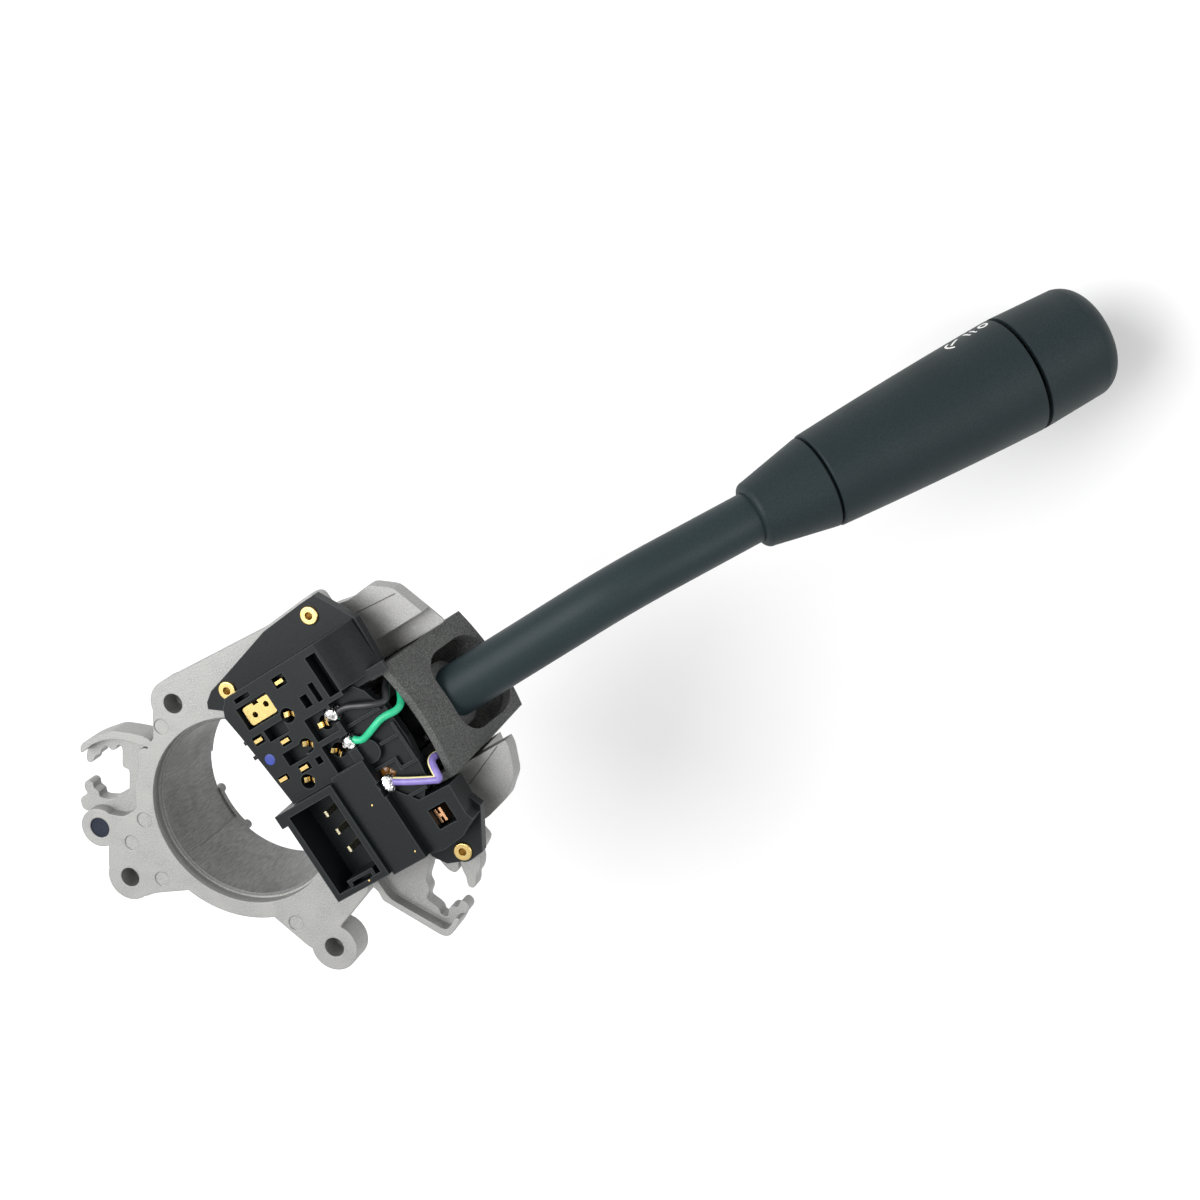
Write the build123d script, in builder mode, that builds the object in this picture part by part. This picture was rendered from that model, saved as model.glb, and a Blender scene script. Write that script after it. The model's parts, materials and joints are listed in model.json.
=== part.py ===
"""Combination stalk switch for a steering column.

A cast bracket clamps on the column tube. A moulded terminal housing is riveted to
its front, and a stalk swings in a carrier between two cast cheeks. The stalk turns
for the indicators, tilts for the beams, and its end cap turns for the wipers and is
pushed for the washer. Sizes are in millimetres. The origin is on the bore axis, in
the front face of the bracket's plate. +Z points to the front, +X towards the stalk.
"""
import os
from math import asin, cos, degrees, radians, sin, tan

from build123d import *

os.makedirs("parts", exist_ok=True)

# Clearances
FIT = 0.05              # radial, a pin or tube seated in its bore
RUN = 0.08              # radial, a shaft that turns in its bore
GAP = 0.4               # between parts that move past each other
SEAT = 0.3              # between a fixed moulding and the casting beside it

# Column bracket
BORE_R = 23.5
LIP_R = 24.8
LIP_DEPTH = 3.0
COLLAR_R = 29.0
COLLAR_DEPTH = 30.0
PLATE_T = 5.0
PLATE_END = COLLAR_R + 23.0
SCREW_R = 2.6
LOBE_R = 6.2
TOP_HOLE = (0.7, 31.9)
SIDE_HOLE = (-40.0, 0.0)
LOW_HOLE = (0.4, -41.5)
PLUG_HOLE = (-39.2, 15.0)
PLUG_R = 2.75
PLUG_LOBE_R = 5.2
LOBE_DEPTH = 7.0
SCREW_DEPTH = 6.0       # the screw holes are blind
HOOK_STEP = 3.2         # the cable hooks lie lower than the plate, inside a raised rim
RECESS_DEPTH = 0.5
RECESS_TOP = 9.0
RECESS_TURNS = (140.0, 188.0)
EJECTOR_R = 2.0
EJECTOR_DEPTH = 0.25
CAST_ROUND = 1.1        # how far the corners of the casting's outlines are cut back
KNOB_R = 1.3
LUG_TURN = 182.0        # middle of the keying lug, seen from the front
LUG_SPREAD = 28.0
LUG_W = 2.2
LUG_H = 1.6
KNOB_H = 3.0

# Tray and cheeks of the bracket, on both sides of the lever
FLOOR_Z = -24.0
FLOOR_T = 3.0
CHEEK_Z = -6.0
CHEEK_T = 4.5
LEDGE_Z = -10.0
LEDGE_W = 5.0
CAST_WALL = 3.0

# Lever: both of its axes cross at the pivot point
PIVOT_REACH = 16.5      # from the collar's outside to the pivot
PIVOT = Vector(COLLAR_R + PIVOT_REACH, -2.2, -7.4)
TURN_LIMIT = 10.0
TILT_LIMIT = 3.0
STALK_R = 6.5
CORE_R = 4.0
CORE_WALL = 1.0
BASE_RUN = 66.5
BASE_SLOPE = 13.6
NECK_RUN = 36.0
HANDLE_SLOPE = 33.0
HANDLE_SWING = 6.1
BEND_R = 60.0

# Lever cover: a slanted, bowed face with a round window for the stalk
COVER_HALF_W = 15.5
COVER_RIM_X = PIVOT.X + 13.9
COVER_RIM_Z = 5.0
COVER_LEAN = 20.2
COVER_BOW = 1.8
COVER_WALL = 1.8
COVER_FOOT_Z = -23.0
COVER_BACK_X = COLLAR_R + 25.5
WINDOW_HALF_W = 10.8
WINDOW_UP = 9.5         # from the stalk's axis to the window's upper edge
WINDOW_DOWN = 10.3
WINDOW_ROUND = 6.5
SHUTTER_T = 1.4
SHUTTER_HALF_W = 8.5
SHUTTER_UP = 11.5
SHUTTER_DOWN = 4.2
SHUTTER_DROP = 6.0      # the ball's centre lies on the turn axis, below the pivot
SHUTTER_GAP = 0.7
SHUTTER_REACH = 16.0

# Lever carrier
CARRIER_HALF_W = 10.3
CARRIER_WALL = 3.0
CARRIER_BACK = 9.3
CARRIER_FRONT = 6.3
CARRIER_TOP_Z = 4.0
CARRIER_FOOT_Z = -19.0
CARRIER_PLATE = 2.7
TRUNNION_R = 2.0
TILT_PIN_R = 1.5
HUB_R = 5.5
HUB_SHORT = 3.3         # width left beside the hub for the return spring

# Turn detent
DETENT_Z = -10.0
PLUNGER_R = 1.8
PLUNGER_REACH = 13.2    # from the turn axis to the plunger's tip
PLUNGER_L = 4.8
DETENT_BOSS_R = 3.2
TRACK_T = 3.0
TRACK_BACK = 2.2        # thickness of the track behind its arc
TRACK_HALF_W = 7.0
NOTCH_R = 1.9

# Indicator contacts between carrier and housing
PADS_Y = 0.6
PAD_PITCH = 3.0
PAD_W = 2.2
CONTACT_T = 0.6

# Terminal housing
HOUSING_TOP = 10.0
WEB_T = 2.6
DECK_TOP = 7.0
DECK_T = 2.4
WING_TOP = 8.0
BOSS_R = 3.0
BOSS_HEIGHT = 1.6
CAVITY_X = COLLAR_R + 4.4
RIVET_R = 1.6
RIVET_BORE = 1.0
RIVET_HEAD_R = 2.35
RIVET_HEAD_T = 0.6
RIVETS = [(48.8, 32.4), (48.5, -35.2), (18.0, 27.6)]

# Connector socket
SOCKET_X = 17.4
SOCKET_W = 16.4
SOCKET_Y = -29.8
SOCKET_L = 25.8
SOCKET_FOOT_Z = 0.6
SOCKET_TOP_Z = 12.5
SOCKET_WALL = 1.6
SOCKET_FLOOR = 2.4
PIN_PITCH = 5.1
PIN_COUNT = 3
PIN_W = 1.5
PIN_T = 0.8
PIN_TOP_Z = 8.4

# Handle, measured along its axis from the small end of the sleeve
SLEEVE_L = 18.3
SLEEVE_SMALL_R = 8.7
SLEEVE_BIG_R = 12.0
SLEEVE_NOSE = 1.8
JOINT_SEAM = 0.9
GRIP_L = 56.8
GRIP_SMALL_R = 12.3
GRIP_BIG_R = 15.3
GRIP_BULGE = 0.3
GRIP_WALL = 1.9
CAP_SEAM = 1.3
CAP_TRAVEL = 1.1
CAP_L = 23.5
CAP_END_R = 14.2
CAP_ROUND = 6.0
CAP_WALL = 2.0
CAP_DOME = 0.7
SPIGOT_L = 5.0
SWITCH_R = 9.4
SWITCH_L = 30.0
SHAFT_R = 3.0
ROD_R = 1.2
DISC_R = 8.0
DISC_T = 2.4
KEY_W = 1.4

# Wires
WIRE_R = 0.9
SOLDER_R = 1.9


def direction(slope, swing):
    """Unit vector that falls by slope and swings towards -Y by swing, in degrees."""
    fall = radians(slope)
    side = radians(swing)
    return Vector(cos(fall) * cos(side), -cos(fall) * sin(side), -sin(fall))


def box_between(low, high, mode=Mode.ADD):
    """Box between two opposite corners."""
    centre = tuple((a + b) / 2 for a, b in zip(low, high))
    size = tuple(b - a for a, b in zip(low, high))
    with Locations(centre):
        Box(*size, mode=mode)


def rounded(points, cut):
    """Outline with each corner cut back and replaced by three points of a curve."""
    result = []
    for before, here, after in zip(points[-1:] + points[:-1], points, points[1:] + points[:1]):
        corner = Vector(*here)
        back = Vector(*before) - corner
        ahead = Vector(*after) - corner
        start = corner + back.normalized() * min(cut, 0.45 * back.length)
        end = corner + ahead.normalized() * min(cut, 0.45 * ahead.length)
        middle = (start + corner * 2 + end) * 0.25
        result += [(v.X, v.Y) for v in (start, middle, end)]
    return result


def wire_radii(points):
    """Arc radius at each inner point of a route, as large as the two runs allow."""
    radii = []
    for before, here, after in zip(points, points[1:], points[2:]):
        run_in = Vector(*here) - Vector(*before)
        run_out = Vector(*after) - Vector(*here)
        half_turn = radians(run_in.get_angle(run_out)) / 2
        radii.append(0.45 * min(run_in.length, run_out.length) / tan(half_turn))
    return radii


# Directions and planes of the lever
base_dir = direction(BASE_SLOPE, 0)
handle_dir = direction(HANDLE_SLOPE, HANDLE_SWING)
bend_at = PIVOT + base_dir * BASE_RUN
handle_at = bend_at + handle_dir * NECK_RUN
handle_side = Vector(-handle_dir.Y, handle_dir.X, 0).normalized()
handle_axis = Axis(handle_at, handle_dir)
meridian = Plane(origin=handle_at, x_dir=handle_dir, z_dir=handle_side * -1)

# The cover's face: its normal leans up from +X, and a depth is measured behind it
face_normal = Vector(cos(radians(COVER_LEAN)), 0, sin(radians(COVER_LEAN)))
face_at = Vector(COVER_RIM_X + COVER_BOW, PIVOT.Y, COVER_RIM_Z)
pivot_depth = (face_at - PIVOT).dot(face_normal)
shutter_at = PIVOT - Vector(0, 0, SHUTTER_DROP)
shutter_r = (face_at - shutter_at).dot(face_normal) - COVER_WALL - SHUTTER_GAP


def face_plane(depth):
    """Plane parallel to the cover's face, centred where the stalk's axis meets it."""
    reach = (pivot_depth - depth) / base_dir.dot(face_normal)
    return Plane(origin=PIVOT + base_dir * reach, x_dir=(0, 1, 0), z_dir=face_normal)


def handle_plane(along):
    """Plane square to the handle, at a distance along its axis."""
    return Plane(origin=handle_at + handle_dir * along, x_dir=handle_side, z_dir=handle_dir)


# Stations along the handle
sleeve_end = SLEEVE_L
grip_start = sleeve_end + JOINT_SEAM
grip_end = grip_start + GRIP_L
cap_start = grip_end + CAP_SEAM
cap_end = cap_start + CAP_L
switch_start = grip_start + 14.0
switch_end = switch_start + SWITCH_L
core_end = switch_start + 3.0

# Levels and edges shared by several pieces
cover_top_y = PIVOT.Y + COVER_HALF_W
cover_low_y = PIVOT.Y - COVER_HALF_W
floor_top = FLOOR_Z + FLOOR_T
cavity_top = DECK_TOP - DECK_T
turn_axis_at = (PIVOT.X, PIVOT.Y)

# Outlines of the casting, seen from the front
PLATE_OUTLINE = [
    (0.7, 38.1), (-4.6, 34.2), (-12.5, 24.0), (-13.2, 26.1), (-16.1, 26.9), (-18.1, 23.5), (-23.0, 19.3),
    (-26.3, 14.2), (-31.1, 14.2), (-38.9, 20.2), (-39.5, 10.5), (-44.2, 4.6), (-40.0, -6.2),
    (-36.0, -6.9), (-24.0, -11.7), (-10.3, -25.5), (-5.7, -38.7), (0.4, -44.0), (5.2, -37.6),
    (17.5, -33.5), (20.3, -30.8), (36.0, -31.6), (43.0, -37.0), (50.0, -38.5), (53.6, -36.4),
    (PLATE_END, -27.0), (PLATE_END, 35.6), (50.0, 36.6), (34.0, 35.6),
]
LEFT_WEB = [
    (-31.0, 33.7), (-32.4, 32.4), (-33.2, 31.2), (-32.7, 30.3), (-31.4, 30.2), (-30.2, 31.3),
    (-28.7, 30.7), (-27.3, 31.9), (-25.2, 31.5), (-25.1, 30.2), (-23.7, 29.6), (-22.6, 30.6),
    (-21.5, 29.5), (-25.2, 24.9), (-23.6, 23.7), (-27.5, 18.8), (-29.4, 19.3), (-33.4, 19.4),
    (-36.5, 21.5), (-35.4, 22.8), (-36.4, 24.4), (-35.4, 25.5), (-36.1, 26.9), (-37.8, 26.9),
    (-38.9, 25.1), (-38.6, 23.9), (-41.7, 24.0), (-42.9, 21.2), (-39.6, 18.0), (-38.0, 12.0),
    (-23.0, 11.0), (-10.5, 22.5), (-11.9, 27.0), (-15.4, 31.0), (-19.1, 33.6), (-24.6, 34.8),
]
LEFT_RIM = [
    (-30.1, 35.2), (-28.4, 35.8), (-24.6, 35.4), (-19.1, 34.3), (-15.4, 31.7), (-12.1, 29.0),
    (-10.8, 26.4), (-12.0, 25.4), (-13.3, 26.4), (-14.7, 27.7), (-16.8, 29.8), (-20.1, 32.3),
    (-23.1, 33.5), (-26.9, 34.1), (-29.7, 33.6), (-31.0, 33.7),
]
RIGHT_WEB = [
    (35.1, -35.4), (31.4, -38.3), (31.4, -40.3), (30.4, -41.3), (29.1, -42.1), (29.0, -42.9),
    (29.9, -44.7), (30.4, -46.3), (29.8, -47.5), (30.9, -48.9), (31.9, -48.2), (32.5, -47.1),
    (34.2, -47.0), (34.9, -48.1), (36.2, -47.0), (37.6, -47.2), (38.0, -48.7), (37.4, -49.8),
    (36.1, -50.3), (34.0, -50.6), (32.2, -51.6), (29.2, -51.8), (20.6, -37.6), (20.2, -30.0),
    (38.0, -30.0),
]
RIGHT_RIM = [
    (19.6, -32.0), (20.5, -34.6), (20.0, -36.8), (20.9, -38.2), (28.6, -51.4), (29.7, -52.4),
    (30.9, -52.6), (32.5, -52.1), (35.5, -50.4), (35.3, -49.6), (34.2, -49.5), (32.7, -50.4),
    (31.1, -50.9), (30.1, -50.5), (22.3, -37.8), (21.9, -35.7), (21.9, -30.0),
]
RIGHT_TEETH = [
    [(38.0, -34.0), (38.6, -38.4), (39.5, -39.8), (40.6, -40.1), (42.0, -38.7), (44.0, -34.0)],
    [
        (43.1, -36.9), (41.9, -40.8), (41.9, -42.2), (40.8, -44.3), (41.3, -45.3), (42.3, -45.6),
        (43.7, -44.2), (44.3, -43.1), (46.0, -42.5), (47.8, -40.6), (49.5, -36.0),
    ],
]
# Tops of the two cheeks, then the narrower walls below them
UPPER_CHEEK = [
    (30.0, cover_top_y + SEAT), (PLATE_END + 19.9, cover_top_y + SEAT), (70.3, 18.3), (67.1, 27.1),
    (61.9, 30.9), (55.2, 30.3), (50.0, 31.4), (30.0, 31.4),
]
LOWER_CHEEK = [
    (30.0, cover_low_y - SEAT), (58.5, cover_low_y - SEAT), (70.0, -16.2), (70.0, -17.6), (69.8, -20.0),
    (68.7, -22.5), (66.9, -26.6), (64.0, -28.7), (62.0, -30.4), (54.3, -32.4), (30.0, -31.4),
]
UPPER_WALL = [
    (30.0, cover_top_y + SEAT), (62.0, cover_top_y + SEAT), (60.5, 17.6), (57.5, 25.0), (50.0, 27.6),
    (30.0, 28.4),
]
LOWER_WALL = [
    (30.0, cover_low_y - SEAT), (60.6, cover_low_y - SEAT), (60.0, -21.0), (57.2, -27.0),
    (50.0, -28.6), (30.0, -28.4),
]
EJECTOR_MARKS = [
    (-6.1, 28.6), (-26.3, 10.8), (-33.5, 7.4), (-32.0, -4.6), (-5.2, -31.4),
]


def sector(inner_r, outer_r, start, end):
    """Corners of a ring sector about the bore axis, between two angles in degrees."""
    steps = 8
    turns = [radians(start + (end - start) * step / steps) for step in range(steps + 1)]
    outside = [(outer_r * cos(turn), outer_r * sin(turn)) for turn in turns]
    inside = [(inner_r * cos(turn), inner_r * sin(turn)) for turn in reversed(turns)]
    return outside + inside


# Column bracket: plate, collar, cable hooks, tray and cheeks in one casting
with BuildPart() as column_bracket:
    with BuildSketch(Plane.XY.offset(-PLATE_T)):
        Polygon(*rounded(PLATE_OUTLINE, CAST_ROUND), align=None)
        with Locations(TOP_HOLE, SIDE_HOLE, LOW_HOLE):
            Circle(LOBE_R)
        with Locations(PLUG_HOLE):
            Circle(PLUG_LOBE_R)
    extrude(amount=PLATE_T)
    with BuildSketch(Plane.XY.offset(-LOBE_DEPTH)):
        with Locations(LOW_HOLE, SIDE_HOLE, TOP_HOLE):
            Circle(LOBE_R)
    extrude(amount=LOBE_DEPTH)
    # Cable hooks: low webs with teeth, each inside a raised rim
    with BuildSketch(Plane.XY.offset(-LOBE_DEPTH)):
        for web in (LEFT_WEB, RIGHT_WEB, *RIGHT_TEETH):
            Polygon(*rounded(web, CAST_ROUND), align=None)
    extrude(amount=LOBE_DEPTH - HOOK_STEP)
    with BuildSketch(Plane.XY.offset(-LOBE_DEPTH)):
        Polygon(*rounded(LEFT_RIM, CAST_ROUND), align=None)
        Polygon(*rounded(RIGHT_RIM, CAST_ROUND), align=None)
    extrude(amount=LOBE_DEPTH)
    with BuildSketch(Plane.XY.offset(-COLLAR_DEPTH)):
        Circle(COLLAR_R)
    extrude(amount=COLLAR_DEPTH)
    for cheek, wall in ((UPPER_CHEEK, UPPER_WALL), (LOWER_CHEEK, LOWER_WALL)):
        with BuildSketch(Plane.XY.offset(FLOOR_Z)):
            Polygon(*wall, align=None)
        extrude(amount=CHEEK_Z - FLOOR_Z)
        with BuildSketch(Plane.XY.offset(CHEEK_Z - CHEEK_T)):
            Polygon(*rounded(cheek, CAST_ROUND), align=None)
        extrude(amount=CHEEK_T)
        with BuildSketch(Plane.XY.offset(CHEEK_Z - 1)):
            Polygon(*cheek, align=None)
            with Locations((PLATE_END + 50, 0)):
                Rectangle(100, 100, mode=Mode.SUBTRACT)
        extrude(amount=-CHEEK_Z + 1 - PLATE_T)
    box_between((COLLAR_R - 6, cover_low_y - 5, FLOOR_Z), (PLATE_END, cover_top_y + 5, floor_top))
    # Opening for the carrier, between plate and tray
    box_between((CAVITY_X, cover_low_y - SEAT, floor_top), (90, cover_top_y + SEAT, 1), mode=Mode.SUBTRACT)
    # Ledges beside the cover
    ledge_y = cover_top_y + SEAT
    box_between((PLATE_END, ledge_y - 1, LEDGE_Z), (90, ledge_y + LEDGE_W, 1), mode=Mode.SUBTRACT)
    # Hollows on the back of the cheeks, with a rib across each
    hollow_top = LEDGE_Z - CAST_WALL
    for near_y, far_y in ((ledge_y + CAST_WALL, 25.0), (cover_low_y - SEAT - CAST_WALL, -25.6)):
        for left_x, right_x in ((33.0, 44.0), (46.5, 56.0)):
            low = (left_x, min(near_y, far_y), FLOOR_Z - 1)
            high = (right_x, max(near_y, far_y), hollow_top)
            box_between(low, high, mode=Mode.SUBTRACT)
    # Post under the lower trunnion
    with BuildSketch(Plane.XY.offset(floor_top - 1)):
        with Locations(turn_axis_at):
            Circle(TRUNNION_R + 2.5)
    extrude(amount=CARRIER_FOOT_Z - GAP - floor_top + 1)
    # Bore with its lip, screw holes, rivet holes and trunnion bore
    with BuildSketch(Plane.XY.offset(-COLLAR_DEPTH - 1)):
        Circle(BORE_R)
    extrude(amount=COLLAR_DEPTH + 2, mode=Mode.SUBTRACT)
    with BuildSketch(Plane.XY.offset(-LIP_DEPTH)):
        Circle(LIP_R)
    extrude(amount=LIP_DEPTH + 1, mode=Mode.SUBTRACT)
    with BuildSketch(Plane.XY.offset(-COLLAR_DEPTH - 1)):
        Polygon(*sector(BORE_R - 4, BORE_R + RECESS_DEPTH, *RECESS_TURNS), align=None)
    extrude(amount=COLLAR_DEPTH + 1 - RECESS_TOP, mode=Mode.SUBTRACT)
    with BuildSketch():
        with Locations(TOP_HOLE, SIDE_HOLE, LOW_HOLE):
            Circle(SCREW_R)
    extrude(amount=-SCREW_DEPTH, mode=Mode.SUBTRACT)
    with BuildSketch():
        with Locations(PLUG_HOLE):
            Circle(PLUG_R)
        with Locations(*RIVETS):
            Circle(RIVET_R + FIT)
    extrude(amount=-LOBE_DEPTH - 1, mode=Mode.SUBTRACT)
    with BuildSketch(Plane.XY.offset(FLOOR_Z - 1)):
        with Locations(turn_axis_at):
            Circle(TRUNNION_R + RUN)
    extrude(amount=FLOOR_T + 6, mode=Mode.SUBTRACT)
    with BuildSketch():
        with Locations(*EJECTOR_MARKS):
            Circle(EJECTOR_R)
    extrude(amount=-EJECTOR_DEPTH, mode=Mode.SUBTRACT)
    # Keying lug on the back rim of the collar: a short arc with a knob at each end
    lug_start = LUG_TURN - LUG_SPREAD / 2
    with BuildSketch(Plane.XY.offset(-COLLAR_DEPTH - LUG_H)):
        Polygon(*sector(BORE_R + 0.1, BORE_R + LUG_W, lug_start, lug_start + LUG_SPREAD), align=None)
    extrude(amount=LUG_H)
    with BuildSketch(Plane.XY.offset(-COLLAR_DEPTH - KNOB_H)):
        with PolarLocations(
            BORE_R + KNOB_R + 0.1, 2, start_angle=lug_start, angular_range=LUG_SPREAD, endpoint=True
        ):
            Circle(KNOB_R)
    extrude(amount=KNOB_H)
column_bracket.part.label = "column_bracket"
export_step(column_bracket.part, "parts/column_bracket.step")

# Plug in the blind boss
with BuildPart() as boss_plug:
    with BuildSketch(Plane.XY.offset(-PLATE_T)):
        with Locations(PLUG_HOLE):
            Circle(PLUG_R - FIT)
    extrude(amount=PLATE_T - 0.4)
boss_plug.part.label = "boss_plug"
export_step(boss_plug.part, "parts/boss_plug.step")

# Terminal housing, seen from the front
socket_end_x = SOCKET_X + SOCKET_W
socket_end_y = SOCKET_Y + SOCKET_L
WEB_OUTLINE = [
    (10.2, 26.2), (11.1, 27.8), (13.9, 29.6), (19.1, 30.8), (35.8, 35.0), (48.6, 35.9),
    (52.9, 36.0), (58.7, 26.1), (58.0, 14.0), (52.0, 14.0), (44.0, 12.0), (20.0, 20.0),
    (14.0, 23.6),
]
GRID_OUTLINE = [
    (19.8, 26.5), (17.8, 22.4), (18.6, 16.9), (19.8, 4.5), (20.6, socket_end_y), (44.0, socket_end_y),
    (44.0, 12.5), (49.0, 12.5), (49.0, 26.5),
]
DECK_OUTLINE = [
    (43.0, 13.0), (50.6, 13.0), (52.6, 10.5), (53.4, 7.8), (55.0, 6.0), (55.4, -4.0), (54.0, -14.0),
    (50.0, -19.0), (43.0, -19.0),
]
WING_OUTLINE = [
    (43.5, -11.5), (49.3, -18.3), (58.4, -18.6), (57.9, -26.4), (58.6, -28.6), (54.0, -31.0),
    (47.7, -31.8), (43.5, -31.0),
]
EAR_OUTLINE = [
    (59.4, -27.4), (52.9, -37.6), (48.9, -38.1), (42.8, -36.0), (40.4, -32.6), (41.0, -24.0),
    (58.0, -24.0),
]
# Pockets between the ribs: left, low, width and length in the plane, then depth
POCKETS = [
    (21.7, 16.8, 9.7, 6.0, 3.4), (22.7, 23.9, 4.8, 1.2, 3.0), (24.9, 11.8, 6.3, 3.2, 3.4),
    (25.7, 4.4, 5.9, 3.5, 3.4), (36.0, 5.9, 7.0, 6.2, 2.6), (35.9, -2.9, 5.6, 7.4, 2.6),
    (38.4, 14.2, 2.2, 3.2, 3.0), (45.6, 13.6, 3.2, 11.0, 4.0), (34.6, 21.8, 3.6, 2.8, 2.6),
    (20.9, 12.6, 3.2, 2.3, 2.6), (27.2, 9.2, 3.0, 2.0, 2.6), (27.4, 1.4, 3.4, 2.0, 2.6),
    (20.9, 1.8, 3.0, 1.7, 2.6), (32.6, 1.2, 1.8, 1.8, 3.0), (42.2, 14.0, 1.6, 5.0, 2.0),
]
BLADES = [(36.4, 23.1), (22.5, 13.7), (28.7, 10.3), (29.0, 2.4), (22.3, 2.6)]
WELLS = [(33.0, 15.2), (32.8, 6.7), (39.4, 8.9), (38.2, 1.6), (27.6, -0.9)]
WELL_R = 1.9
WELL_DEPTH = 5.0
LEAF_T = 0.4            # sheet of the spring contacts in the wells
LEAF_SINK = 1.4
EDGE_NUBS = [14.6, 10.4]
DECK_RIB_H = 1.0
DECK_RIBS = [
    ((44.0, 4.9), (54.0, 5.7)), ((54.2, -10.0), (55.0, 1.0)), ((44.0, -7.4), (49.6, -6.6)),
    ((52.4, 5.7), (53.2, 6.8)), ((45.0, -16.8), (53.0, -16.0)), ((48.6, -2.6), (54.4, -1.8)),
    ((49.6, -10.0), (50.4, -6.6)), ((50.4, -10.0), (54.6, -9.2)),
]
WINDOW_LOW = (49.6, -27.0)
WINDOW_SIZE = (5.4, 5.4)
POSTS = [(42.9, 9.6), (42.6, 2.2), (45.4, -11.4)]
POST_ROOM = 1.9         # half width of the notch round a post
POST_R = 1.3
POST_TOP = DECK_TOP + 0.4

with BuildPart() as terminal_housing:
    with BuildSketch():
        Polygon(*WEB_OUTLINE, align=None)
        Polygon(*EAR_OUTLINE, align=None)
    extrude(amount=WEB_T)
    with BuildSketch():
        Polygon(*GRID_OUTLINE, align=None)
    extrude(amount=HOUSING_TOP)
    for nub_y in EDGE_NUBS:
        box_between((17.9, nub_y - 0.5, HOUSING_TOP - 2.5), (20.5, nub_y + 0.5, HOUSING_TOP - 0.6))
    # Smooth shoulder that curves down towards the cheek
    with BuildSketch(Plane.XZ.offset(-26.5)):
        with BuildLine():
            Polyline((48.0, WEB_T - 1), (48.0, HOUSING_TOP), (49.6, HOUSING_TOP))
            ThreePointArc((49.6, HOUSING_TOP), (54.2, 7.6), (58.0, WEB_T + 0.8))
            Polyline((58.0, WEB_T + 0.8), (58.0, WEB_T - 1), (48.0, WEB_T - 1))
        make_face()
    extrude(amount=26.5 - cover_top_y - SEAT)
    # Wall beside the socket
    box_between((socket_end_x + 0.1, SOCKET_Y - 0.9, 0), (44.0, socket_end_y + 1, HOUSING_TOP + 1))
    with BuildSketch():
        Polygon(*WING_OUTLINE, align=None)
    extrude(amount=WING_TOP)
    # Deck over the carrier, with the boss of the upper trunnion
    with BuildSketch(Plane.XY.offset(cavity_top)):
        Polygon(*DECK_OUTLINE, align=None)
    extrude(amount=DECK_T)
    with BuildSketch(Plane.XY.offset(DECK_TOP)):
        with Locations(turn_axis_at):
            Circle(BOSS_R)
    extrude(amount=BOSS_HEIGHT)
    for low, high in DECK_RIBS:
        box_between((*low, DECK_TOP - 0.5), (*high, DECK_TOP + DECK_RIB_H))
    # Hook that clips on the cover
    hook_z = COVER_RIM_Z + SEAT
    box_between((50.0, cover_top_y - 1.3, hook_z), (60.5, cover_top_y + 1.2, hook_z + 1.2))
    # Cavity for the carrier, open to the back
    box_between((CAVITY_X, cover_low_y + 1.4, -1), (90, cover_top_y - 1.4, cavity_top), mode=Mode.SUBTRACT)
    for left_x, low_y, width, length, depth in POCKETS:
        low = (left_x, low_y, HOUSING_TOP - depth)
        high = (left_x + width, low_y + length, HOUSING_TOP + 2)
        box_between(low, high, mode=Mode.SUBTRACT)
    with BuildSketch(Plane.XY.offset(HOUSING_TOP + 1)):
        with Locations(*WELLS):
            Circle(WELL_R)
    extrude(amount=-WELL_DEPTH - 1, mode=Mode.SUBTRACT)
    window_high = (WINDOW_LOW[0] + WINDOW_SIZE[0], WINDOW_LOW[1] + WINDOW_SIZE[1], WING_TOP + 1)
    box_between((*WINDOW_LOW, WEB_T), window_high, mode=Mode.SUBTRACT)
    with BuildSketch():
        with Locations(*RIVETS):
            Circle(RIVET_HEAD_R + 0.5)
    extrude(amount=WEB_T)
    with BuildSketch(Plane.XY.offset(WEB_T)):
        with Locations(*RIVETS):
            Circle(RIVET_HEAD_R + 0.5)
    extrude(amount=HOUSING_TOP, mode=Mode.SUBTRACT)
    with BuildSketch():
        with Locations(*RIVETS):
            Circle(RIVET_R + FIT)
    extrude(amount=WEB_T, mode=Mode.SUBTRACT)
    with BuildSketch():
        with Locations(turn_axis_at):
            Circle(TRUNNION_R + RUN)
    extrude(amount=DECK_TOP + BOSS_HEIGHT - 1, mode=Mode.SUBTRACT)
    with BuildSketch(Plane.XY.offset(DECK_TOP)):
        with Locations(*POSTS):
            Rectangle(2 * POST_ROOM, 2 * POST_ROOM)
    extrude(amount=HOUSING_TOP, mode=Mode.SUBTRACT)
    with BuildSketch(Plane.XY.offset(cavity_top + 0.4)):
        with Locations(*POSTS):
            Circle(POST_R - 0.2)
    extrude(amount=HOUSING_TOP, mode=Mode.SUBTRACT)
terminal_housing.part.label = "terminal_housing"
export_step(terminal_housing.part, "parts/terminal_housing.step")

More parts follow.
